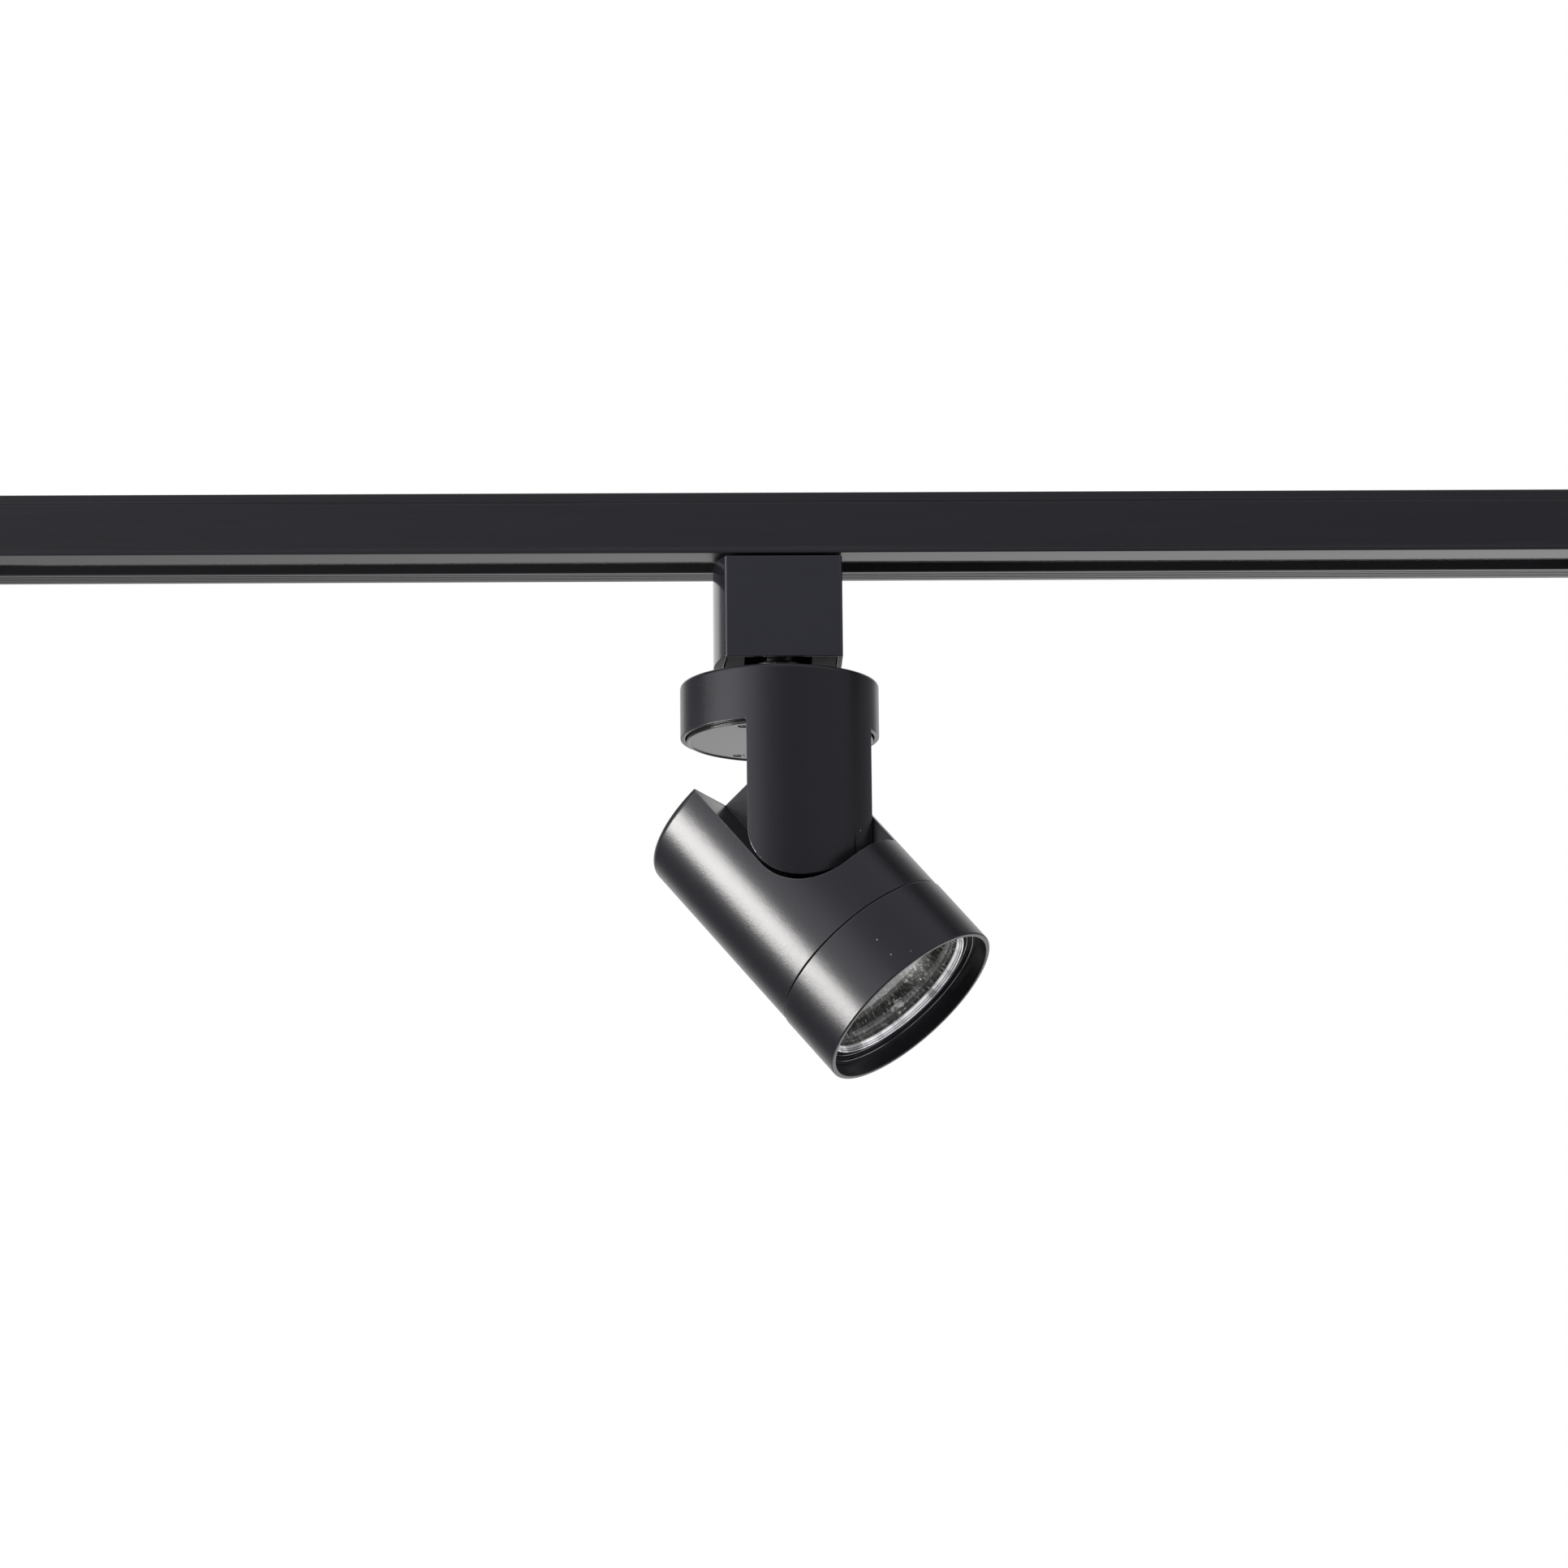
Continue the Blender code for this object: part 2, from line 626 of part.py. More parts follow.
def canopy_arm_casting(pan):
    # (radius, z)
    profile = [
        (0, CANOPY_TOP),
        (RADIUS - 1.2, CANOPY_TOP),
        (RADIUS - 0.6, CANOPY_TOP - 0.16),
        (RADIUS - 0.16, CANOPY_TOP - 0.6),
        (RADIUS, CANOPY_TOP - 1.2),
        (RADIUS, CASTING_BOTTOM),
        (0, CASTING_BOTTOM),
    ]
    casting = turned("canopy_arm_casting", profile, SATIN_BLACK, pan)

    # Everything below the rim goes, except the arm.
    solid = arm_outline(0.0, -68.5, 28)
    below = block(
        "cut_below_rim",
        (-REACH_X, -REACH_X, CASTING_BOTTOM - 8),
        (REACH_X, REACH_X, CANOPY_RIM),
        parent=pan,
    )
    cut(below, prism("keep_arm", solid, "y", -REACH_Y, ARM_FACE_Y, parent=pan))
    cut(casting, below)

    hollow_profile = rod(HOLLOW_RADIUS, CANOPY_ROOF, CANOPY_RIM - 1.0)
    hollow = turned("cut_canopy_hollow", hollow_profile, parent=pan)
    cut(hollow, prism("keep_arm_root", solid, "y", -REACH_Y, ARM_FACE_Y, parent=pan))
    cut(casting, hollow)

    arm_inside = arm_outline(ARM_WALL, -60.0, 20)
    inner_face = ARM_FACE_Y - ARM_WALL
    arm_hollow = prism("cut_arm_hollow", arm_inside, "y", -REACH_Y, inner_face, parent=pan)
    shell = turned("keep_inside_shell", rod(ARM_HOLLOW_RADIUS, -50, -130), parent=pan)
    boolean(arm_hollow, shell, "INTERSECT")
    cut(casting, arm_hollow)

    nipple_hole = rod(NIPPLE_HOLE, CANOPY_TOP + 2, CANOPY_TOP - 4)
    cut(
        casting,
        turned("cut_nipple_hole", nipple_hole, parent=pan, segments=SMALL),
        lying("cut_pivot_hole", rod(PIVOT_HOLE, 0, 8), (PIVOT_X, -8.0, PIVOT_Z), parent=pan),
    )

    boss = rod(BOSS_RADIUS, CANOPY_TOP - 1.0, BOSS_BOTTOM)
    for n, place in enumerate(SCREW_PLACES, 1):
        join(casting, turned(f"join_boss_{n}", boss, None, pan, SMALL, place))
    thread = rod(1.2, -64.0, -76.0)
    for n, place in enumerate(SCREW_PLACES, 1):
        cut(casting, turned(f"cut_boss_{n}", thread, None, pan, SCREW_FACETS, place))


def canopy_cover(pan):
    """The round cover, with a quadrant left out for the arm, and its three screws."""
    face = COVER_FACE
    profile = [
        (0, face + 2.2),
        (COVER_RADIUS, face + 2.2),
        (COVER_RADIUS, face + 0.3),
        (COVER_RADIUS - 0.3, face),
        (0, face),
    ]
    cover = turned("canopy_cover", profile, COVER_GREY, pan)
    quadrant_low = (-0.4, -REACH_X, face - 3)
    quadrant_high = (REACH_X, ARM_FACE_Y + 0.4, face + 5)
    cut(cover, block("cut_cover_quadrant", quadrant_low, quadrant_high, parent=pan))
    # (radius, z), from the shank down to the head
    hole = [
        (0, face + 4), (1.25, face + 4), (1.25, face + 1.4),
        (1.8, face + 1.4), (1.8, face - 1), (0, face - 1),
    ]
    screw_profile = [
        (0, -66.0), (0.85, -66.0), (0.85, face + 1.1), (1.45, face + 1.1),
        (1.45, face + 0.2), (1.2, face + 0.05), (0, face + 0.05),
    ]
    for n, place in enumerate(SCREW_PLACES, 1):
        x, y = place
        cut(cover, turned(f"cut_cover_hole_{n}", hole, None, pan, SCREW_FACETS, place))
        screw = turned(f"cover_screw_{n}", screw_profile, STEEL, pan, SCREW_FACETS, place)
        slot_low, slot_high = (x - 0.25, y - 3, face - 1), (x + 0.25, y + 3, face + 0.45)
        cut(screw, block(f"cut_screw_slot_{n}", slot_low, slot_high, parent=pan))


def driver(pan):
    turned("driver_board", ring(19.8, 10.5, -66.0, -67.6), BOARD_GREEN, pan, SMALL)
    block("driver_choke", (-18.0, -6.0, -65.7), (-10.0, 6.0, -59.2), FERRITE, pan, bevel=0.6)
    lying(
        "driver_capacitor",
        [(0, 0), (2.9, 0), (3.2, 0.4), (3.2, 10.0), (0, 10.0)],
        (-5.0, 15.0, -62.2),
        CAN_BLUE,
        pan,
        direction=(1, 0, 0),
    )
    terminal_low, terminal_high = (10.0, 3.0, -65.7), (17.0, 12.0, -59.0)
    block("terminal_block", terminal_low, terminal_high, WHITE_PLASTIC, pan, bevel=0.5)
    path = [
        (8.5, -10.0, -68.3), (9.5, -10.5, -78.0), (13.0, -12.0, -94.0),
        (14.8, -11.5, -102.5), (15.0, -8.5, PIVOT_Z), (15.0, -2.6, PIVOT_Z),
    ]
    tube("arm_lead", path, 1.5, pan)


# ---------------------------------------------------------------- pivot, along the tilt axis
PIN_RADIUS, PIN_BORE, PIN_LENGTH = 4.0, 2.6, 12.3
PIN_HEAD_RADIUS, PIN_HEAD_THICKNESS = 6.5, 1.5
PIN_START_Y = ARM_FACE_Y - ARM_WALL - 1.8
PIN_CLEARANCE_BORE = 4.35  # radius of the holes that slip over the pin
PIVOT_NUT_RADIUS = 6.35


def pivot(pan):
    pin = [
        (PIN_HEAD_RADIUS, 0.0),
        (PIN_HEAD_RADIUS, PIN_HEAD_THICKNESS),
        (PIN_RADIUS, PIN_HEAD_THICKNESS),
        (PIN_RADIUS, PIN_LENGTH),
        (PIN_BORE, PIN_LENGTH),
        (PIN_BORE, 0.0),
    ]
    lying("pivot_pin", pin, (PIVOT_X, PIN_START_Y, PIVOT_Z), NICKEL, pan)
    washer = ring(7.5, PIN_CLEARANCE_BORE, 0, 1.0)
    lying("pivot_spring_washer", washer, (PIVOT_X, 1.0, PIVOT_Z), STEEL, pan)
    outline = hexagon((PIVOT_X, PIVOT_Z), PIVOT_NUT_RADIUS, 30)
    nut = prism("pivot_nut", outline, "y", 2.3, 5.3, NICKEL, pan)
    bore = rod(PIN_CLEARANCE_BORE, 0, 8)
    cut(nut, lying("cut_pivot_nut", bore, (PIVOT_X, 0.0, PIVOT_Z), parent=pan))


# ---------------------------------------------------------------- head, tilts about the pivot pin
# Head frame: origin on the tilt axis, +Z towards the closed rear, the head's own axis at HEAD_X.
HEAD_X = -PIVOT_X
HEAD_CENTRE = (HEAD_X, 0.0)
HEAD_WALL = 2.2
HEAD_INNER = RADIUS - HEAD_SHELL
LEDGE = -20.5            # the heat sink lies just in front of this ledge
ROOM_RADIUS = 26.2
SPIGOT_RADIUS, SPIGOT_BORE, SPIGOT_LENGTH = 28.1, 26.4, 8.2
# Three bayonet lugs on the housing's spigot, in slots inside the trim ring
LUG_COUNT, LUG_PITCH, LUG_HALF_ANGLE = 3, 120, 5
LUG_INNER, LUG_OUTER = 27.4, 28.85
LUG_LOW, LUG_HIGH = -39.6, -37.8


def notch_cutter(tilt):
    """The notch that lets the head fold past the arm."""
    curve = arc(NOTCH_CENTRE, NOTCH_RADIUS, 180, 281, 16)
    end_x, end_z = curve[-1]
    outline = [(REACH_X, REACH_Z), (NOTCH_X, REACH_Z)] + curve
    outline += [(REACH_X, end_z + NOTCH_RISE * (REACH_X - end_x))]
    return prism("cut_notch", outline, "y", -REACH_Y, NOTCH_FACE_Y, parent=tilt)


def relief_cutter(tilt):
    """Rounds the rear corner on the pivot's side, about the tilt axis."""
    outline = [(1.6, REACH_Z)] + arc((0, 0), HEAD_REAR, 87, 50, 9)
    outline += [(REACH_X, 23.0), (REACH_X, REACH_Z)]
    return prism("cut_corner_relief", outline, "y", -REACH_Y, REACH_Y, parent=tilt)


def room_cutter(tilt):
    """The housing's inside, less walls beside the notch and the corner relief."""
    profile = rod(ROOM_RADIUS, HEAD_REAR - HEAD_WALL, LEDGE - 3.0)
    room = turned("cut_room", profile, parent=tilt, centre=HEAD_CENTRE)
    wall = [(REACH_X, REACH_Z), (NOTCH_X - HEAD_WALL, REACH_Z)]
    wall += arc(NOTCH_CENTRE, NOTCH_RADIUS + HEAD_WALL + 0.3, 184, 258, 10)
    wall += [(2.0, LEDGE - 0.3), (REACH_X, LEDGE - 0.3)]
    relief = [(3.0, REACH_Z)] + arc((0, 0), HEAD_REAR - 2.4, 84, 40, 6)
    relief += [(REACH_X, 18.0), (REACH_X, REACH_Z)]
    wall_face = NOTCH_FACE_Y + HEAD_WALL
    cut(
        room,
        prism("keep_notch_wall", wall, "y", -REACH_Y, wall_face, parent=tilt),
        prism("keep_relief_wall", relief, "y", -REACH_Y, REACH_Y, parent=tilt),
    )
    return room


def head_housing(tilt):
    # (radius, z): the rounded rear, down the outside to the spigot, and back up inside
    profile = [
        (0, HEAD_REAR),
        (RADIUS - 1.6, HEAD_REAR),
        (RADIUS - 0.8, HEAD_REAR - 0.22),
        (RADIUS - 0.22, HEAD_REAR - 0.8),
        (RADIUS, HEAD_REAR - 1.6),
        (RADIUS, HEAD_SEAM + 0.25),
        (RADIUS - 0.25, HEAD_SEAM),
        (SPIGOT_RADIUS, HEAD_SEAM),
        (SPIGOT_RADIUS, HEAD_SEAM - SPIGOT_LENGTH),
        (SPIGOT_BORE, HEAD_SEAM - SPIGOT_LENGTH),
        (SPIGOT_BORE, HEAD_SEAM - 0.4),
        (HEAD_INNER, HEAD_SEAM + 1.2),
        (HEAD_INNER, LEDGE),
        (0, LEDGE),
    ]
    housing = turned("head_housing", profile, SATIN_BLACK, tilt, centre=HEAD_CENTRE)
    start = (0, -4.0, 0)
    cut(
        housing,
        notch_cutter(tilt),
        relief_cutter(tilt),
        lying("cut_head_pivot_hole", rod(PIVOT_HOLE, 0, 8), start, parent=tilt),
        lying("cut_washer_recess", rod(8.3, 0, 3.4), start, parent=tilt, segments=MID),
    )
    for n in range(LUG_COUNT):
        middle = LUG_PITCH * n
        first, last = middle - LUG_HALF_ANGLE, middle + LUG_HALF_ANGLE
        size = (LUG_INNER, LUG_OUTER, LUG_LOW, LUG_HIGH)
        join(housing, sector(f"join_lug_{n + 1}", first, last, *size, 3, tilt, HEAD_CENTRE))
    cut(housing, room_cutter(tilt))


def friction_washer(tilt):
    profile = ring(8.0, PIN_CLEARANCE_BORE, 0, 0.9)
    lying("friction_washer", profile, (0, -1.8, 0), FIBRE, tilt)


# ---------------------------------------------------------------- light engine
SINK_TOP = LEDGE - 0.6
SINK_FACE = SINK_TOP - 4.0
SINK_RADIUS = 27.4
FIN_COUNT, FIN_PITCH, FIN_HALF = 7, 5.0, 0.8
FIN_CIRCLE, FIN_RIGHT, FIN_TOP = 24.5, -19.5, 14.0
LED_HALF = 7.0
HOLDER_SCREWS = [(HEAD_X, -9.0), (HEAD_X, 9.0)]


def heat_sink(tilt):
    profile = rod(SINK_RADIUS, SINK_TOP, SINK_FACE)
    sink = turned("heat_sink", profile, ALUMINIUM, tilt, MID, HEAD_CENTRE)
    for n in range(FIN_COUNT):
        y = FIN_PITCH * (n - (FIN_COUNT - 1) / 2)
        reach = math.sqrt(FIN_CIRCLE**2 - y**2)
        low = (HEAD_X - reach, y - FIN_HALF, SINK_TOP - 1.0)
        high = (FIN_RIGHT, y + FIN_HALF, FIN_TOP)
        join(sink, block(f"join_fin_{n + 1}", low, high, parent=tilt))
    cut(sink, turned("cut_lead_hole", rod(2.6, -10, -30), None, tilt, SMALL, (-11.0, 18.0)))
    hole = rod(1.2, SINK_FACE + 3.0, SINK_FACE - 2)
    for n, place in enumerate(HOLDER_SCREWS, 1):
        cut(sink, turned(f"cut_sink_hole_{n}", hole, None, tilt, SCREW_FACETS, place))


def cob_led(tilt):
    """The LED on its thermal pad, both square and centred on the head's axis."""

    def square(name, low, high, look):
        corner = (HEAD_X - LED_HALF, -LED_HALF, SINK_FACE - low)
        opposite = (HEAD_X + LED_HALF, LED_HALF, SINK_FACE - high)
        return block(name, corner, opposite, look, tilt)

    square("thermal_pad", 0.7, 0.3, SILICONE)
    led = square("cob_led", 2.0, 1.0, PHOSPHOR)
    emitter = [
        (0, SINK_FACE - 1.5), (5.2, SINK_FACE - 1.5), (5.2, SINK_FACE - 2.3),
        (4.8, SINK_FACE - 2.5), (0, SINK_FACE - 2.5),
    ]
    join(led, turned("join_emitter", emitter, None, tilt, SMALL, HEAD_CENTRE))


def led_holder(tilt):
    face = SINK_FACE
    # (radius, z)
    profile = [
        (12.6, face - 0.3), (12.6, face - 2.9), (12.1, face - 3.4), (6.4, face - 3.4),
        (6.4, face - 2.3), (10.9, face - 2.3), (10.9, face - 0.3),
    ]
    screw = [
        (0, face + 2.6), (0.9, face + 2.6), (0.9, face - 3.7), (1.9, face - 3.7),
        (1.9, face - 4.5), (1.4, face - 4.9), (0, face - 4.9),
    ]
    holder = turned("led_holder", profile, WHITE_PLASTIC, tilt, SMALL, HEAD_CENTRE)
    hole = rod(1.35, face, face - 5)
    for n, place in enumerate(HOLDER_SCREWS, 1):
        cut(holder, turned(f"cut_holder_hole_{n}", hole, None, tilt, SCREW_FACETS, place))
        turned(f"holder_screw_{n}", screw, STEEL, tilt, SCREW_FACETS, place)


BOWL_IN, BOWL_OUT = 11.6, 23.5
BOWL_LOW, BOWL_HIGH = -45.9, SINK_FACE - 3.8
BOWL_STEPS = 6
BACK_OUT, BACK_UP = 0.9, 0.3   # from the reflector's bright face to its back
FLANGE_LOW, FLANGE_HIGH, FLANGE_RADIUS = -41.9, -41.1, 26.1


def bowl(start, stop, out=0.0, up=0.0):
    """The reflector's curve between two of its steps; step 0 is the small end."""
    shares = [i / BOWL_STEPS for i in range(start, stop + 1)]
    return [
        (
            BOWL_IN + (BOWL_OUT - BOWL_IN) * math.sqrt(share) + out,
            BOWL_HIGH + (BOWL_LOW - BOWL_HIGH) * share + up,
        )
        for share in shares
    ]


def bowl_back(height):
    """The radius of the reflector's back at a height."""
    share = (BOWL_HIGH + BACK_UP - height) / (BOWL_HIGH - BOWL_LOW)
    return BOWL_IN + (BOWL_OUT - BOWL_IN) * math.sqrt(share) + BACK_OUT


def reflector(tilt):
    flange = [
        (bowl_back(FLANGE_LOW), FLANGE_LOW),
        (FLANGE_RADIUS, FLANGE_LOW),
        (FLANGE_RADIUS, FLANGE_HIGH),
        (bowl_back(FLANGE_HIGH), FLANGE_HIGH),
    ]
    # The flange stands out between steps 4 and 5 of the back.
    profile = bowl(0, 6) + bowl(5, 6, BACK_OUT, BACK_UP)[::-1]
    profile += flange + bowl(0, 4, BACK_OUT, BACK_UP)[::-1]
    turned("reflector", profile, MIRROR, tilt, MID, HEAD_CENTRE)


def head_lead(tilt):
    path = [
        (0, 0.2, 0), (0.0, 7.5, 0), (-3.0, 12.0, -3.0),
        (-9.0, 17.5, -11.0), (-11.0, 18.0, -19.0), (-11.2, 18.0, SINK_FACE - 1.0),
    ]
    tube("head_lead", path, 1.4, tilt)


# ---------------------------------------------------------------- trim, twists off the spigot
BAYONET_INNER, BAYONET_OUTER = 27.9, 29.2


def trim_ring(twist):
    # (radius, z): down the outside, round the front lip, and up past the inner shelf
    profile = [
        (TRIM_RADIUS - 0.3, HEAD_SEAM - 0.3),
        (TRIM_RADIUS, HEAD_SEAM - 0.6),
        (TRIM_RADIUS, HEAD_FRONT + 0.3),
        (TRIM_RADIUS - 0.3, HEAD_FRONT),
        (29.0, HEAD_FRONT),
        (28.75, HEAD_FRONT + 0.25),
        (28.75, -50.8),
        (27.9, -50.8),
        (27.9, -49.7),
        (25.4, -49.7),
        (25.4, -48.9),
        (28.45, -48.9),
        (28.45, HEAD_SEAM - 0.3),
    ]
    trim = turned("trim_ring", profile, SATIN_BLACK, twist)
    # The lug sits at one end of its slot, which leaves 30 degrees to turn, then opens to
    # the rear. Columns: name, first and last angle from the lug, low, high, steps.
    cutters = (
        ("cut_bayonet", -37, 7, LUG_LOW - 0.5, LUG_HIGH + 0.5, 8),
        ("cut_entry", -37, -23, LUG_LOW - 0.4, HEAD_SEAM + 3, 4),
    )
    for n in range(LUG_COUNT):
        lug = LUG_PITCH * n
        for name, first, last, low, high, steps in cutters:
            size = (BAYONET_INNER, BAYONET_OUTER, low, high)
            cut(trim, sector(f"{name}_{n + 1}", lug + first, lug + last, *size, steps, twist))


def glazing(twist):
    """The bezel, front glass, gasket and retaining ring held in the trim."""
    # (radius, z)
    bezel = [
        (27.6, -46.6), (27.6, -48.6), (25.1, -48.6), (25.1, -50.0), (24.8, -50.0),
        (24.2, -48.4), (24.2, -47.8), (26.0, -47.8), (26.0, -46.6),
    ]
    turned("lens_bezel", bezel, MIRROR, twist)
    turned("front_glass", rod(25.7, -46.3, -47.5), GLASS, twist, MID)
    turned("glass_gasket", ring(27.9, 25.0, -45.1, -46.0), SILICONE, twist, MID)
    turned("retaining_ring", ring(28.1, 26.4, -43.6, -44.8), STEEL, twist, MID)


# ---------------------------------------------------------------- assembly
def main():
    for old in list(bpy.data.objects):
        bpy.data.objects.remove(old, do_unlink=True)

    for build in (
        track_extrusion, insulators_and_conductors, end_caps,
        adapter_core, adapter_metalwork, swivel, adapter_sleeve,
    ):
        build()

    pan = empty("pan_axis", rotation=(0, 0, -math.radians(PAN_AZIMUTH)))
    for build in (canopy_arm_casting, canopy_cover, driver, pivot):
        build(pan)

    tilt = empty("tilt_axis", (PIVOT_X, 0, PIVOT_Z), (0, -math.radians(TILT), 0), pan)
    for build in (
        head_housing, friction_washer, heat_sink, cob_led, led_holder, reflector, head_lead,
    ):
        build(tilt)

    twist = empty("trim_axis", (HEAD_X, 0, 0), parent=tilt)
    trim_ring(twist)
    glazing(twist)


main()
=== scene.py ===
# Track spotlight: the fine surface, materials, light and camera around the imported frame.
# The track runs along x with its top at z = 0. An adapter, a round canopy with an arm, and a
# tilting head hang below it. The camera looks along +y, so front is -y and left is -x.
# Each piece is drawn in millimetres in the frame of the joint it belongs to, then set in
# place by that joint's position and axis. Materials, floor, light and camera are in metres.
import json
import math
import random

import bmesh
import bpy
from mathutils import Matrix, Vector, noise


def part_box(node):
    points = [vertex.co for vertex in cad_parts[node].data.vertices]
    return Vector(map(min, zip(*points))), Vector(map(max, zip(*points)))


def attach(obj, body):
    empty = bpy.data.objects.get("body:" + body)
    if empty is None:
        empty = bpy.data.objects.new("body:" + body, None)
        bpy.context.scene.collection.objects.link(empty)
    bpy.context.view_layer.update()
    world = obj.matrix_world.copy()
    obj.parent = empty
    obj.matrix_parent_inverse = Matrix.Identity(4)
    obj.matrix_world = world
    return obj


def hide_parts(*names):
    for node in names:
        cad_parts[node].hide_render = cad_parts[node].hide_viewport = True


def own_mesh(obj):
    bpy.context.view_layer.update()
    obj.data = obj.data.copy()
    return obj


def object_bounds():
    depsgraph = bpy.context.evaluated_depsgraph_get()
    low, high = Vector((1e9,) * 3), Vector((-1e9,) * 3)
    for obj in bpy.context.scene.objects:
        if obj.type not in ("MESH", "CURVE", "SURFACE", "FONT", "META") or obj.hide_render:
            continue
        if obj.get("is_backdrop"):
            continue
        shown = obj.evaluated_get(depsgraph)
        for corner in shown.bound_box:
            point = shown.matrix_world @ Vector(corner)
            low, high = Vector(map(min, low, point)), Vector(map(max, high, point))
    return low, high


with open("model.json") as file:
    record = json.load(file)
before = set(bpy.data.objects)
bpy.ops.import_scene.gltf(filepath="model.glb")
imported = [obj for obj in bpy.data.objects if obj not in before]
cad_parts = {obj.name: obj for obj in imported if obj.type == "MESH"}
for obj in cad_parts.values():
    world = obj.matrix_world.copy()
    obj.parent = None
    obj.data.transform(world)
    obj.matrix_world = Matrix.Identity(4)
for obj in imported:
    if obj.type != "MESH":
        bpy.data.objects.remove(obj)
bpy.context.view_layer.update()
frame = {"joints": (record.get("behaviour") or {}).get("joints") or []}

MILLI = 0.001
random.seed(11)

JOINT = {joint["name"]: joint for joint in frame["joints"]}


def z_of(node, end):
    """A node's lowest or highest z, in millimetres."""
    low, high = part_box(node)
    return (high if end == "top" else low).z / MILLI


# ---------------------------------------------------------------- shared dimensions (mm)
TRACK_HALF_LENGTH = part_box("end_cap_right")[1].x / MILLI
BODY_RADIUS = 30.0  # canopy and head
ARM_RADIUS = BODY_RADIUS / 2
ARM_FACE_Y, ARM_WALL = -2.1, 2.2
PIVOT_X, PIVOT_Z = ARM_RADIUS, JOINT["tilt"]["pos_m"][2] / MILLI
PIVOT_BORE = 4.4
COVER_FACE = z_of("canopy_cover", "low")
HEAD_SEAM = -33.4  # where the housing meets the trim ring
LUG_LOW, LUG_HIGH = -39.6, -37.8
# Cutters run out this far, clear of the part.
CLEAR_X, CLEAR_Y, CLEAR_Z = 40.0, 45.0, 50.0
# Segments round a turned shape.
OPTIC, BIG, MID, SMALL, SCREW = 200, 144, 96, 48, 32


# ---------------------------------------------------------------- frames, from the joints
def matrix_of(origin, x, y, z):
    made = Matrix((x, y, z)).transposed().to_4x4()
    made.translation = origin
    return made


TILT_AXIS = Vector(JOINT["tilt"]["axis"]).normalized()
UP = Vector((0, 0, 1))
WORLD = Matrix.Identity(4)
CANOPY = matrix_of(Vector((0, 0, 0)), (-TILT_AXIS).cross(UP), -TILT_AXIS, UP)
HEAD_UP = Vector(JOINT["trim_twist"]["axis"]).normalized()
HEAD = matrix_of(
    Vector(JOINT["tilt"]["pos_m"]), (-TILT_AXIS).cross(HEAD_UP), -TILT_AXIS, HEAD_UP
)
TRIM = HEAD @ Matrix.Translation((-ARM_RADIUS * MILLI, 0, 0))
FRAME_OF = {
    "track": WORLD, "adapter": WORLD, "sleeve": WORLD, "canopy": CANOPY, "head": HEAD, "trim": TRIM,
}


# ---------------------------------------------------------------- node graphs
class Graph:
    """Adds nodes to one tree. Every method but node and feed returns an output socket."""

    def __init__(self, tree):
        self.nodes, self.links = tree.nodes, tree.links

    def feed(self, node, inputs):
        """Gives each named input a value, or a link from another node's output."""
        for key, value in inputs.items():
            if isinstance(value, bpy.types.NodeSocket):
                self.links.new(value, node.inputs[key])
            else:
                node.inputs[key].default_value = value

    def node(self, kind, inputs=None, **settings):
        made = self.nodes.new("ShaderNode" + kind)
        for key, value in settings.items():
            setattr(made, key, value)
        self.feed(made, inputs or {})
        return made

    def calc(self, operation, *values, clamp=False):
        inputs = dict(enumerate(values))
        return self.node("Math", inputs, operation=operation, use_clamp=clamp).outputs["Value"]

    def vector_calc(self, operation, first, second):
        inputs = {0: first, 1: second}
        return self.node("VectorMath", inputs, operation=operation).outputs["Value"]

    def ramp(self, value, stops):
        """A colour ramp through (place, colour) stops; a single number is a grey."""
        made = self.node("ValToRGB", {"Fac": value})
        elements = made.color_ramp.elements
        while len(elements) < len(stops):
            elements.new(0.5)
        for element, (place, colour) in zip(elements, stops):
            element.position = place
            element.color = (*((colour,) * 3 if isinstance(colour, float) else colour), 1.0)
        return made.outputs["Color"]

    def noise(self, vector, scale, detail=2.0, rough=0.5):
        inputs = {"Scale": scale, "Detail": detail, "Roughness": rough, "Vector": vector}
        return self.node("TexNoise", inputs).outputs["Fac"]

    def local(self):
        """A point's place in the frame its piece was drawn in, in metres."""
        made = self.node("Attribute", attribute_type="GEOMETRY", attribute_name="local")
        return made.outputs["Vector"]

    def stretched(self, scale=(1, 1, 1)):
        """The local place, scaled by a vector."""
        return self.node("Mapping", {"Scale": scale, "Vector": self.local()}).outputs["Vector"]

    def remap(self, value, source=(0.0, 1.0), result=(0.0, 1.0), shape="LINEAR"):
        inputs = {
            "From Min": source[0], "From Max": source[1],
            "To Min": result[0], "To Max": result[1], "Value": value,
        }
        return self.node("MapRange", inputs, interpolation_type=shape).outputs["Result"]

    def mix(self, factor, first, second, blend="MIX", kind="RGBA"):
        inputs = {"Factor": factor, "A": first, "B": second}
        return self.node("Mix", inputs, data_type=kind, blend_type=blend).outputs["Result"]

    def bump(self, height, strength, distance):
        inputs = {"Strength": strength, "Distance": distance, "Height": height}
        return self.node("Bump", inputs).outputs["Normal"]


def new_material(name):
    made = bpy.data.materials.new(name)
    made.use_nodes = True
    return made, Graph(made.node_tree), made.node_tree.nodes["Principled BSDF"]


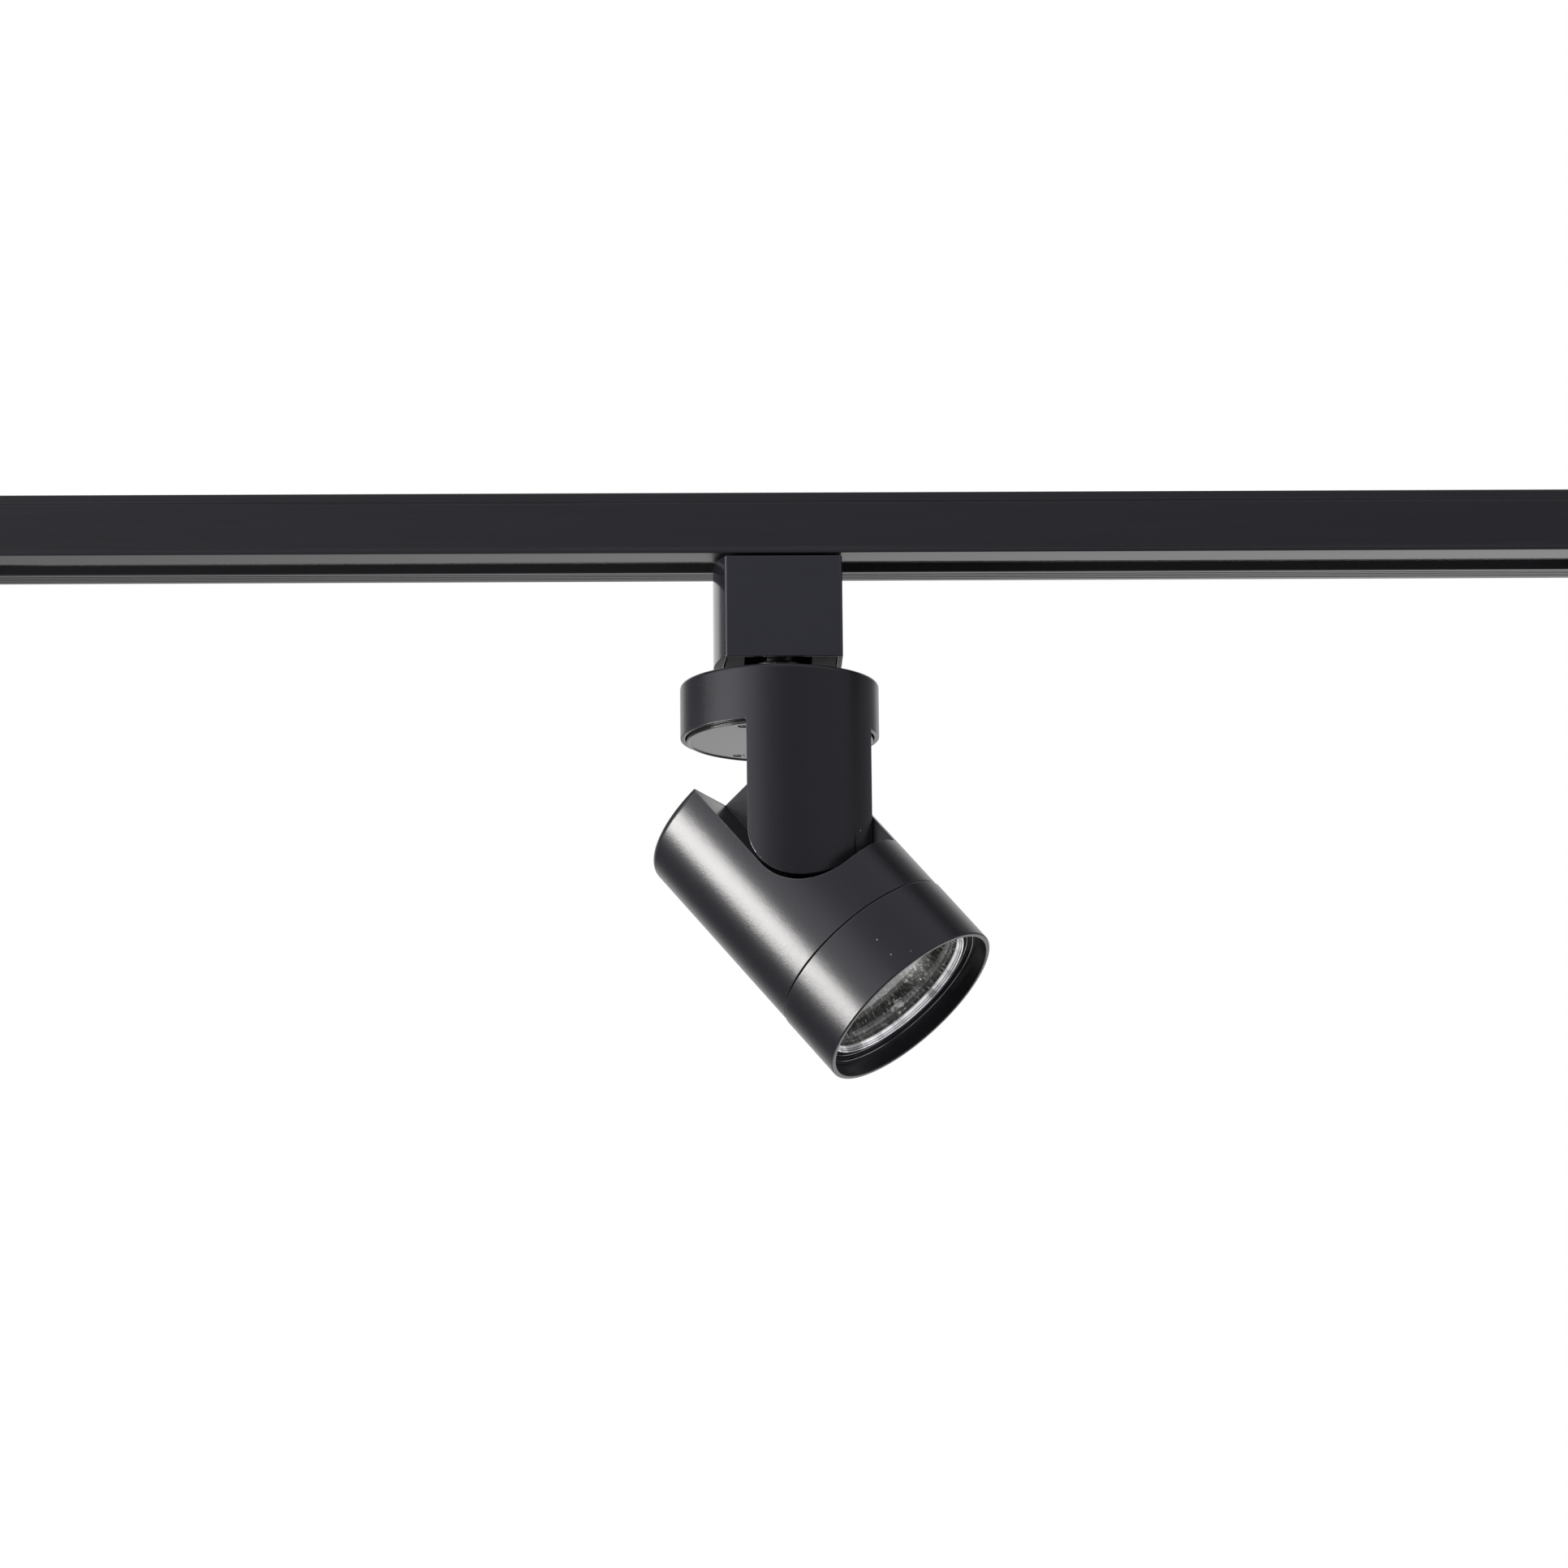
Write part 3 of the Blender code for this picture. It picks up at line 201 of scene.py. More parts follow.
# ---------------------------------------------------------------- materials
# A look is a material paired with a slot name.
def dusted(graph, vector, colour, share):
    """Sparse bright specks, in the given share of the cells."""
    cells = graph.node("TexVoronoi", {"Scale": 210.0, "Vector": vector}, feature="F1")
    near = graph.ramp(cells.outputs["Distance"], [(0.0, 1.0), (0.045, 1.0), (0.06, 0.0)])
    pick = graph.node("SeparateColor", {"Color": cells.outputs["Color"]})
    chosen = graph.calc("GREATER_THAN", pick.outputs["Red"], 1.0 - share)
    speck_colour = (0.42, 0.42, 0.44, 1)
    return graph.mix(graph.calc("MULTIPLY", near, chosen), colour, speck_colour)


def worn_and_highlit_edges(graph, patches, colour, strength):
    """Lighter edges, partly wear and partly a painted edge highlight, found where the rounded
    normal leaves the true one.
    """
    softened_normal = graph.node("Bevel", {"Radius": 0.0006}, samples=4).outputs["Normal"]
    true_normal = graph.node("NewGeometry").outputs["Normal"]
    agreement = graph.vector_calc("DOT_PRODUCT", softened_normal, true_normal)
    wear_and_highlight = graph.ramp(agreement, [(0.80, strength), (0.985, 0.0)])
    wear_and_highlight_colour = (0.23, 0.23, 0.24, 1)
    return graph.mix(graph.calc("MULTIPLY", wear_and_highlight, patches), colour, wear_and_highlight_colour)


def coating(name, slot, dark, light, rough, grain=1400.0, bump=0.06, depth=0.00004,
            specks=0.0, ior=1.5, stretch=(1, 1, 1), edge_wear_and_highlight=0.0):
    """A painted or moulded surface: cloudy tone between dark and light, fine grain in the
    roughness and bump, and, where asked for, specks of dust and lighter edges, partly wear and
    partly painted highlight."""
    made, graph, shader = new_material(name)
    vector = graph.stretched(stretch)
    cloud = graph.noise(vector, scale=45.0, detail=3.0, rough=0.55)
    fine = graph.noise(vector, scale=grain, rough=0.6)
    middle = graph.noise(vector, scale=grain * 0.22)
    blend = graph.mix(0.45, cloud, fine, kind="FLOAT")
    colour = graph.ramp(blend, [(0.32, dark), (0.68, light)])
    if specks:
        colour = dusted(graph, vector, colour, specks)
    # Where asked for, lighter edges: partly wear, partly a painted edge highlight.
    if edge_wear_and_highlight:
        colour = worn_and_highlit_edges(graph, middle, colour, edge_wear_and_highlight)
    graph.feed(shader, {
        "Base Color": colour,
        "Roughness": graph.remap(blend, result=rough),
        "Normal": graph.bump(graph.calc("ADD", fine, middle), bump, depth),
        "IOR": ior,
        "Coat Roughness": 0.12,
    })
    return made, slot


def metal(name, slot, colour, rough, grain=900.0, stretch=(1, 1, 1), turning=False):
    """Bare metal with drawing or turning marks and slightly cloudy plating."""
    made, graph, shader = new_material(name)
    vector = graph.stretched(stretch)
    cloud = graph.noise(vector, scale=120.0, detail=3.0)
    marks = graph.noise(vector, scale=grain, detail=3.0, rough=0.6)
    shadow = tuple(part * 0.80 for part in colour)
    height = marks
    if turning:
        height = graph.node(
            "TexWave", {"Scale": 900.0, "Distortion": 0.6, "Vector": graph.local()},
            wave_type="RINGS", rings_direction="Z", wave_profile="SIN",
        ).outputs["Fac"]
    graph.feed(shader, {
        "Base Color": graph.ramp(cloud, [(0.3, shadow), (0.7, colour)]),
        "Roughness": graph.remap(marks, result=rough),
        "Normal": graph.bump(height, strength=0.08, distance=0.00003),
        "Metallic": 1.0,
    })
    return made, slot


SATIN = coating(
    "satin_black_powder", "satin_black", dark=(0.0118, 0.0113, 0.0142),
    light=(0.0160, 0.0154, 0.0190), rough=(0.25, 0.32),
    grain=2100.0, bump=0.32, depth=0.00006, specks=0.07, edge_wear_and_highlight=0.7,
)
TRACK = coating(
    "track_black_anodised", "track_black", dark=(0.0115, 0.0110, 0.0130),
    light=(0.0165, 0.0158, 0.0185), rough=(0.30, 0.38),
    grain=1100.0, specks=0.004, stretch=(0.03, 1, 1), edge_wear_and_highlight=0.4,
)
GLOSS = coating(
    "gloss_black_moulding", "gloss_black", dark=(0.0095, 0.0100, 0.0145),
    light=(0.0125, 0.0130, 0.0185), rough=(0.09, 0.14),
    grain=500.0, bump=0.05, depth=0.00006, specks=0.06, ior=1.74,
)
MATT = coating(
    "matt_black_moulding", "matt_black", dark=(0.016, 0.016, 0.018),
    light=(0.030, 0.030, 0.034), rough=(0.42, 0.60),
    grain=2200.0, bump=0.35, depth=0.00008, specks=0.03,
)
COVER = coating(
    "canopy_cover_paint", "cover_black", dark=(0.012, 0.012, 0.013),
    light=(0.018, 0.018, 0.019), rough=(0.14, 0.20), grain=900.0, bump=0.05, specks=0.004,
)
WHITE = coating(
    "white_moulding_surface", "white_plastic", dark=(0.70, 0.69, 0.66),
    light=(0.80, 0.79, 0.76), rough=(0.38, 0.50), grain=1200.0, bump=0.10,
)
BOARD = coating(
    "circuit_board_mask", "board_green", dark=(0.015, 0.10, 0.045),
    light=(0.03, 0.17, 0.075), rough=(0.30, 0.45), grain=600.0, bump=0.15,
)
FERRITE = coating(
    "ferrite_sintered", "ferrite", dark=(0.035, 0.035, 0.038),
    light=(0.065, 0.065, 0.07), rough=(0.55, 0.75), grain=1800.0, bump=0.4, depth=0.0001,
)
CAN = coating(
    "capacitor_sleeve_film", "can_blue", dark=(0.02, 0.035, 0.13),
    light=(0.03, 0.055, 0.20), rough=(0.22, 0.34), grain=500.0, bump=0.08,
)
SHEATH = coating(
    "lead_sheath_rubber", "lead_black", dark=(0.016, 0.016, 0.016),
    light=(0.028, 0.028, 0.028), rough=(0.45, 0.60), grain=1600.0, bump=0.2,
)
PAD = coating(
    "silicone_rubber", "silicone", dark=(0.42, 0.43, 0.43),
    light=(0.52, 0.53, 0.53), rough=(0.50, 0.65), grain=1500.0, bump=0.15,
)
GASKET = coating(
    "gasket_rubber", "silicone", dark=(0.012, 0.012, 0.013),
    light=(0.022, 0.022, 0.024), rough=(0.40, 0.55), grain=1500.0, bump=0.15,
)
FIBRE = coating(
    "friction_fibre_felt", "fibre", dark=(0.10, 0.075, 0.05),
    light=(0.22, 0.17, 0.12), rough=(0.75, 0.9), grain=2000.0, bump=0.5, depth=0.00015,
)
PHOSPHOR = coating(
    "phosphor_dome", "phosphor", dark=(0.75, 0.52, 0.08),
    light=(0.90, 0.68, 0.14), rough=(0.45, 0.60), grain=2400.0, bump=0.2,
)
COPPER = metal("copper_strip", "copper", colour=(0.78, 0.42, 0.26), rough=(0.22, 0.34),
               grain=700.0, stretch=(0.05, 1, 1))
STEEL = metal("zinc_plated_steel_surface", "steel", colour=(0.60, 0.60, 0.63), rough=(0.24, 0.36))
DARK_STEEL = metal("blackened_screw_steel", "steel", colour=(0.10, 0.10, 0.105),
                   rough=(0.28, 0.42))
NICKEL = metal("nickel_plate_surface", "nickel", colour=(0.66, 0.65, 0.63), rough=(0.20, 0.30),
               grain=1200.0)
ALUMINIUM = metal("machined_aluminium_surface", "aluminium", colour=(0.74, 0.74, 0.76),
                  rough=(0.30, 0.42), turning=True)


def reflector_painted_reflection(graph, mottle):
    """A painted reflection, given off as emission: the colour and strength of the light that
    comes back off the crinkles, more of it deep in the bowl and on one soft patch of the wall."""
    painted_sheen = graph.ramp(mottle, [
        (0.42, (0.0105, 0.0100, 0.0092)), (0.51, (0.021, 0.020, 0.0185)),
        (0.58, (0.060, 0.058, 0.053)), (0.66, (0.34, 0.335, 0.32)),
    ])
    here = graph.local()
    painted_patch_centre = TRIM.inverted() @ Vector((0.0395, 0.0070, -0.1405))
    painted_patch = graph.remap(graph.vector_calc("DISTANCE", here, painted_patch_centre),
                        source=(0.0085, 0.0), result=(0.0, 4.0), shape="SMOOTHSTEP")
    height = graph.node("SeparateXYZ", {0: here}).outputs["Z"]
    deep_painted_glow = graph.remap(height, source=(-0.037, -0.031), result=(0.9, 2.2))
    strength = graph.calc("ADD", painted_patch, deep_painted_glow)
    # One small painted glint low on the wall, its edge made ragged by noise.
    painted_glint_centre = (-0.00553, 0.02234, -0.04469)
    distance = graph.vector_calc("DISTANCE", here, painted_glint_centre)
    jitter = graph.noise(here, scale=800.0, rough=0.6)
    ragged = graph.calc("MULTIPLY_ADD", jitter, 0.0085, distance)
    painted_glint = graph.remap(ragged, source=(0.0061, 0.0053), result=(0.0, 0.30), shape="SMOOTHSTEP")
    # The painted patch also lifts the emitted colour itself, by a trace.
    painted_lift = graph.calc("MULTIPLY_ADD", painted_patch, 0.008, painted_glint)
    return graph.mix(painted_lift, painted_sheen, (1.0, 1.0, 0.98, 1), blend="ADD"), strength


def reflector_look():
    """Dull spun aluminium, crinkled: streaks drawn out along the axis, mottled dark and light,
    with a painted reflection given off as emission.
    """
    made, graph, shader = new_material("crinkled_reflector")
    streaks = graph.noise(graph.stretched((1, 1, 0.11)), scale=1900.0, detail=3.0, rough=0.60)
    crinkle = graph.noise(graph.stretched((1, 1, 0.55)), scale=1000.0, detail=4.0, rough=0.66)
    mottle = graph.mix(0.5, streaks, crinkle, kind="FLOAT")
    tone = graph.ramp(mottle, [
        (0.38, (0.035, 0.033, 0.030)), (0.50, (0.10, 0.096, 0.088)),
        (0.60, (0.22, 0.213, 0.20)), (0.70, 0.80),
    ])
    painted_glow_colour, painted_glow_strength = reflector_painted_reflection(graph, mottle)
    height = graph.calc("ADD", streaks, crinkle)
    graph.feed(shader, {
        "Normal": graph.bump(height, strength=0.75, distance=0.0004),
        "Base Color": tone,
        "Roughness": graph.remap(crinkle, result=(0.16, 0.34)),
        "Metallic": 0.95,
        # Painted reflection: the crinkles' gleam, patch and glint are given off as emission.
        "Emission Color": painted_glow_colour,
        "Emission Strength": painted_glow_strength,
    })
    return made, "bright_reflector"


def glass_look():
    """Thin clear glass with a coating that holds its mirror image down, and faint smears."""
    made, graph, shader = new_material("clear_front_glass")
    graph.nodes.remove(shader)
    clear = graph.node("BsdfTransparent", {"Color": (0.945, 0.950, 0.950, 1)})
    smear = graph.noise(graph.stretched(), scale=130.0, detail=3.0)
    gloss = graph.node("BsdfGlossy", {"Roughness": graph.remap(smear, result=(0.01, 0.08))})
    fresnel = graph.node("Fresnel", {"IOR": 1.48}).outputs["Fac"]
    held_down = graph.calc("MULTIPLY", fresnel, 0.22)
    mixed = graph.node("MixShader", {0: held_down, 1: clear.outputs[0], 2: gloss.outputs[0]})
    graph.feed(graph.nodes["Material Output"], {"Surface": mixed.outputs[0]})
    return made, "glass"


def bezel_look():
    """A polished ring glowing with painted light: bands of painted highlight and shade by height,
    in lighter and darker stretches round it.
    """
    made, graph, shader = new_material("polished_bezel_rim")
    vector = graph.stretched()
    stretches = graph.noise(graph.stretched((1, 1, 0.1)), scale=150.0, detail=3.0, rough=0.6)
    fine = graph.noise(vector, scale=900.0, detail=3.0, rough=0.6)
    tone = graph.ramp(stretches, [
        (0.38, (0.34, 0.34, 0.35)), (0.48, (0.78, 0.78, 0.79)), (0.58, (0.97, 0.97, 0.98)),
    ])
    # Bands of painted highlight and shade follow the height: 0 at the lip, 1 towards the rear.
    height = graph.node("SeparateXYZ", {0: graph.local()}).outputs["Z"]
    painted_bands = graph.ramp(graph.remap(height, source=(-0.0500, -0.0478)), [
        (0.0, 0.95), (0.10, 0.95), (0.13, 0.10), (0.20, 0.12), (0.24, 0.80), (0.42, 0.62),
        (0.45, 0.22), (0.49, 0.22), (0.53, 1.0), (0.86, 0.92), (0.93, 0.35), (1.0, 0.25),
    ])
    painted_light_tone = graph.mix(1.0, tone, painted_bands, blend="MULTIPLY")
    graph.feed(shader, {
        "Base Color": painted_light_tone,
        "Roughness": graph.remap(fine, result=(0.12, 0.30)),
        "Metallic": 0.55,
        # Painted glow: the rim gives off its own colour as light, in place of the light the clear
        # edge of the glass passes on into it.
        "Emission Color": painted_light_tone,
        "Emission Strength": 0.62,
        "Normal": graph.bump(stretches, strength=0.5, distance=0.0002),
    })
    return made, "bright_reflector"


def lip_highlight_material():
    """A painted highlight on the trim's fine inner corners: a dull shine given off as emission."""
    made, graph, shader = new_material("painted_highlight_lip_edge")
    patches = graph.noise(graph.stretched(), scale=90.0, detail=3.0, rough=0.6)
    tone = graph.ramp(patches, [(0.36, (0.05, 0.05, 0.052)), (0.64, (0.34, 0.34, 0.35))])
    graph.feed(shader, {
        "Base Color": tone,
        "Emission Color": tone,
        "Emission Strength": 0.55,
        "Roughness": 0.35,
        "Metallic": 0.5,
    })
    return made


REFLECTOR = reflector_look()
GLASS = glass_look()
BEZEL = bezel_look()
LIP_HIGHLIGHT = lip_highlight_material()


# ---------------------------------------------------------------- mesh helpers
def object_of(draft):
    """A mesh drawn in millimetres becomes an object, in metres, at the origin."""
    bmesh.ops.remove_doubles(draft, verts=draft.verts, dist=1e-4)
    bmesh.ops.recalc_face_normals(draft, faces=draft.faces)
    bmesh.ops.scale(draft, vec=(MILLI, MILLI, MILLI), verts=draft.verts)
    mesh = bpy.data.meshes.new("part")
    draft.to_mesh(mesh)
    draft.free()
    made = bpy.data.objects.new("part", mesh)
    bpy.context.scene.collection.objects.link(made)
    return made


def applied(obj):
    """The object with its modifiers made into its own mesh."""
    bpy.context.view_layer.update()
    graph = bpy.context.evaluated_depsgraph_get()
    mesh = bpy.data.meshes.new_from_object(obj.evaluated_get(graph), depsgraph=graph)
    obj.modifiers.clear()
    obj.data = mesh
    return obj


def combine(target, others, operation):
    """Combines the others into the target in turn, and uses them up."""
    for other in others:
        made = target.modifiers.new("step", "BOOLEAN")
        made.operation = operation
        made.object = other
        made.solver = "EXACT"
    applied(target)
    for other in others:
        bpy.data.objects.remove(other, do_unlink=True)


def cut(target, *others):
    combine(target, others, "DIFFERENCE")


def join(target, *others):
    combine(target, others, "UNION")


def tidy(obj):
    """Merges the crumbs a cut leaves, and dissolves the lines left across flat faces."""
    crumb, flat = 0.02 * MILLI, math.radians(0.35)
    draft = bmesh.new()
    draft.from_mesh(obj.data)
    bmesh.ops.remove_doubles(draft, verts=draft.verts, dist=crumb)
    bmesh.ops.dissolve_degenerate(draft, edges=draft.edges, dist=crumb)
    bmesh.ops.dissolve_limit(
        draft, angle_limit=flat, verts=draft.verts, edges=draft.edges,
        use_dissolve_boundaries=False,
    )
    draft.to_mesh(obj.data)
    draft.free()
    return obj


def rounded(obj, width, segments=3, angle=38, clamp=False):
    """Rounds every edge sharper than the angle, by width in millimetres."""
    made = obj.modifiers.new("round", "BEVEL")
    made.width = width * MILLI
    made.segments = segments
    made.limit_method = "ANGLE"
    made.angle_limit = math.radians(angle)
    made.use_clamp_overlap = clamp
    made.loop_slide = True
    made.miter_outer = "MITER_ARC"
    return applied(obj)


def keep_local(mesh):
    """Remembers where each point was drawn, for the materials."""
    kept = mesh.attributes.new("local", "FLOAT_VECTOR", "POINT")
    flat = [0.0] * (3 * len(mesh.vertices))
    mesh.vertices.foreach_get("co", flat)
    kept.data.foreach_set("vector", flat)


def piece(obj, node, body, look, place=None, sharp=32, weighted=True):
    """Sets the finished mesh in its place (its body's frame, unless another is given), with
    its look, riding on its body and standing for its CAD node."""
    material, slot = look
    obj.name = obj.data.name = f"{node}_fine"
    keep_local(obj.data)
    obj.data.transform(FRAME_OF[body] if place is None else place)
    obj.data.materials.clear()
    obj.data.materials.append(material)
    obj.data.shade_smooth()
    obj.data.set_sharp_from_angle(angle=math.radians(sharp))
    if weighted:
        made = obj.modifiers.new("even_normals", "WEIGHTED_NORMAL")
        made.keep_sharp = True
        made.weight = 60
    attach(obj, body)
    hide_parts(node)
    return obj


def fillet(outline, radius, steps):
    """Rounds a closed outline's corners; a point may carry its own radius as a third number."""
    out = []
    for i, corner in enumerate(outline):
        bend = corner[2] if len(corner) > 2 else radius
        point = Vector(corner[:2])
        back = Vector(outline[i - 1][:2]) - point
        ahead = Vector(outline[(i + 1) % len(outline)][:2]) - point
        if bend <= 0 or back.length < 1e-6 or ahead.length < 1e-6:
            out.append((point.x, point.y))
            continue
        inside = back.angle(ahead)
        turn = math.pi - inside
        if turn < 0.25 or inside < 0.02:
            out.append((point.x, point.y))
            continue
        reach = bend * math.tan(turn / 2)
        most = 0.47 * min(back.length, ahead.length)
        if reach > most:
            reach = most
            bend = reach / math.tan(turn / 2)
        back.normalize()
        ahead.normalize()
        middle = point + (back + ahead).normalized() * (bend / math.cos(turn / 2))
        first, last = point + back * reach - middle, point + ahead * reach - middle
        start = math.atan2(first.y, first.x)
        sweep = (math.atan2(last.y, last.x) - start + math.pi) % (2 * math.pi) - math.pi
        count = max(2, math.ceil(steps * abs(sweep) / (math.pi / 2)))
        for k in range(count + 1):
            angle = start + sweep * k / count
            out.append((middle.x + bend * math.cos(angle), middle.y + bend * math.sin(angle)))
    return out


def softened(outline, soft, steps=4, about_axis=False):
    """The outline filleted, if it asks for it; corners on a turning axis stay sharp."""
    if not soft and all(len(point) == 2 for point in outline):
        return outline
    if about_axis:
        outline = [(*point[:2], 0.0) if point[0] < 1e-6 else point for point in outline]
    return fillet(outline, soft, steps)


def rod(radius, start, end):
    """The (radius, height) profile of a solid rod."""
    return [(0, start), (radius, start), (radius, end), (0, end)]


def ring(outer, inner, start, end):
    """The (radius, height) profile of a square-edged ring."""
    return [(outer, start), (outer, end), (inner, end), (inner, start)]


def turned_mesh(profile, segments, centre=(0.0, 0.0), wobble=None):
    """A closed (radius, height) profile turned about a vertical axis; wobble adds to the radius."""
    draft = bmesh.new()
    rings = []
    for radius, height in profile:
        if radius < 1e-6:
            rings.append([draft.verts.new((centre[0], centre[1], height))])
            continue
        loop = []
        for i in range(segments):
            angle = 2 * math.pi * i / segments
            out = radius + (wobble(angle, radius, height) if wobble else 0.0)
            x = centre[0] + out * math.cos(angle)
            y = centre[1] + out * math.sin(angle)
            loop.append(draft.verts.new((x, y, height)))
        rings.append(loop)
    for k, loop in enumerate(rings):
        after = rings[(k + 1) % len(rings)]
        if len(loop) == 1 and len(after) == 1:
            continue
        for i in range(segments):
            j = (i + 1) % segments
            if len(loop) == 1:
                draft.faces.new((loop[0], after[i], after[j]))
            elif len(after) == 1:
                draft.faces.new((loop[i], loop[j], after[0]))
            else:
                draft.faces.new((loop[i], loop[j], after[j], after[i]))
    return draft


def turned(profile, segments=BIG, centre=(0.0, 0.0), soft=0.0, steps=4, wobble=None):
    shape = softened(profile, soft, steps, about_axis=True)
    return object_of(turned_mesh(shape, segments, centre, wobble))


def lying(profile, point, direction=(0, 1, 0), segments=SMALL, soft=0.0):
    """A turned shape whose axis runs from the point along the direction."""
    draft = turned_mesh(softened(profile, soft, about_axis=True), segments)
    turn = UP.rotation_difference(Vector(direction)).to_matrix().to_4x4()
    bmesh.ops.transform(draft, matrix=Matrix.Translation(point) @ turn, verts=draft.verts)
    return object_of(draft)


def prism(outline, axis, low, high, soft=0.0, steps=4):
    """An outline in the two other axes, drawn out along the given one."""
    order = {"x": (2, 0, 1), "y": (0, 2, 1), "z": (0, 1, 2)}[axis]
    shape = softened(outline, soft, steps)
    draft = bmesh.new()
    bottom, top = (
        [draft.verts.new([(*point, along)[k] for k in order]) for point in shape]
        for along in (low, high)
    )
    draft.faces.new(bottom[::-1])
    draft.faces.new(top)
    for i in range(len(shape)):
        j = (i + 1) % len(shape)
        draft.faces.new((bottom[i], bottom[j], top[j], top[i]))
    return object_of(draft)


def block(lows, highs, bevel=0.0, segments=2):
    draft = bmesh.new()
    bmesh.ops.create_cube(draft, size=1.0)
    bmesh.ops.scale(draft, vec=Vector(highs) - Vector(lows), verts=draft.verts)
    bmesh.ops.translate(draft, vec=(Vector(lows) + Vector(highs)) / 2, verts=draft.verts)
    if bevel:
        bmesh.ops.bevel(
            draft, geom=list(draft.edges), offset=bevel, segments=segments,
            profile=0.5, affect="EDGES",
        )
    return object_of(draft)


def arc(centre, radius, start, stop, steps):
    """Points round a centre, between two angles in degrees."""
    angles = [math.radians(start + (stop - start) * i / steps) for i in range(steps + 1)]
    return [
        (centre[0] + radius * math.cos(angle), centre[1] + radius * math.sin(angle))
        for angle in angles
    ]


def sector(start, stop, inner, outer, low, high, steps, centre):
    outline = arc(centre, outer, start, stop, steps) + arc(centre, inner, stop, start, steps)
    return prism(outline, "z", low, high)


def hexagon(radius, centre=(0.0, 0.0), turn=0.0):
    return arc(centre, radius, turn, turn + 300, 5)


def loop_round(draft, middle, radius, side, other, sides):
    """A circle of vertices in the plane of two unit vectors."""
    angles = [2 * math.pi * i / sides for i in range(sides)]
    return [
        draft.verts.new(middle + radius * (math.cos(angle) * side + math.sin(angle) * other))
        for angle in angles
    ]


def skinned(draft, loops):
    """Joins neighbouring loops with faces, and closes the two ends."""
    for first, second in zip(loops, loops[1:]):
        for i in range(len(first)):
            j = (i + 1) % len(first)
            draft.faces.new((first[i], first[j], second[j], second[i]))
    draft.faces.new(loops[0])
    draft.faces.new(loops[-1][::-1])
    return object_of(draft)


def tube(path, radius, sides=20, per_span=10):
    """A round lead swept along a smooth curve through the path's points."""
    points = [Vector(point) for point in path]
    ends = [points[0] * 2 - points[1]] + points + [points[-1] * 2 - points[-2]]
    line = []
    for k in range(1, len(ends) - 2):
        before, start, stop, after = ends[k - 1 : k + 3]
        for i in range(per_span):
            share = i / per_span
            line.append(0.5 * (
                (2 * start) + (stop - before) * share
                + (2 * before - 5 * start + 4 * stop - after) * share**2
                + (3 * start - before - 3 * stop + after) * share**3
            ))
    line.append(points[-1])
    draft = bmesh.new()
    loops = []
    side = None
    for k, point in enumerate(line):
        ahead = (line[min(k + 1, len(line) - 1)] - line[max(k - 1, 0)]).normalized()
        if side is None:
            side = ahead.orthogonal().normalized()
        side = (side - ahead * side.dot(ahead)).normalized()
        loops.append(loop_round(draft, point, radius, side, ahead.cross(side), sides))
    return skinned(draft, loops)


def coil(centre, low, high, radius, wire, turns, per_turn=28, sides=10):
    """A helical spring with its end turns laid flat; wire is the wire's diameter."""
    draft = bmesh.new()
    loops = []
    for k in range(turns * per_turn + 1):
        angle = 2 * math.pi * k / per_turn
        share = min(1.0, max(0.0, (k / per_turn - 0.75) / (turns - 1.5)))
        z = low + wire / 2 + (high - low - wire) * share
        out = Vector((math.cos(angle), math.sin(angle), 0))
        middle = Vector((centre[0], centre[1], z)) + radius * out
        loops.append(loop_round(draft, middle, wire / 2, out, UP, sides))
    return skinned(draft, loops)


# ---------------------------------------------------------------- track
TRACK_HEIGHT = -z_of("track_extrusion", "low")
TRACK_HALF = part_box("track_extrusion")[1].y / MILLI
TRACK_WALL, SLOT_HALF = 1.4, 6.5
CAP_THICKNESS, CAP_GAP = 3.0, 0.3
BAR_END = TRACK_HALF_LENGTH - CAP_THICKNESS - CAP_GAP
LIP_GROOVES_Y = (14.4, 12.6, 10.8, 9.0)
GROOVE_HALF, GROOVE_DEPTH = 0.3, 0.45


def track_half(side, grooves):
    """(y, z, fillet radius) from the top's outer corner, round the outside and the lip, to the
    inner roof's outer corner."""
    floor_z = -TRACK_HEIGHT
    lip = []
    for y in grooves:
        near, far, roof = y + GROOVE_HALF, y - GROOVE_HALF, floor_z + GROOVE_DEPTH
        lip += [(near, floor_z, 0.1), (near, roof, 0.05), (far, roof, 0.05), (far, floor_z, 0.1)]
    half = [
        (TRACK_HALF, 0.0, 0.5),
        (TRACK_HALF, -2.65, 0.12),
        (TRACK_HALF - 0.35, -2.85, 0.08),
        (TRACK_HALF - 0.35, -3.15, 0.08),
        (TRACK_HALF, -3.35, 0.12),
        (TRACK_HALF, floor_z + 1.65, 0.1),
        (TRACK_HALF - 0.2, floor_z + 1.55, 0.05),
        (TRACK_HALF - 0.2, floor_z + 1.25, 0.05),
        (TRACK_HALF, floor_z + 1.15, 0.1),
        (TRACK_HALF, floor_z, 0.4),
        *lip,
        (SLOT_HALF, floor_z, 0.3),
        (SLOT_HALF, floor_z + 3.0, 0.2),
        (SLOT_HALF + 1.2, floor_z + 3.0, 0.2),
        (SLOT_HALF + 1.2, floor_z + TRACK_WALL, 0.2),
        (TRACK_HALF - TRACK_WALL, floor_z + TRACK_WALL, 0.4),
        (TRACK_HALF - TRACK_WALL, -TRACK_WALL, 0.4),
    ]
    return [(side * y, z, radius) for y, z, radius in half]


# The extrusion, with a hole through its top near each end.
track_outline = track_half(1, LIP_GROOVES_Y) + track_half(-1, ())[::-1]
track = prism(track_outline, "x", -BAR_END, BAR_END, 0.2, 5)
cut(track, *[turned(rod(2.25, 2.0, -4.0), SMALL, (x, 0)) for x in (-150.0, 150.0)])
piece(tidy(track), "track_extrusion", "track", TRACK, sharp=30)

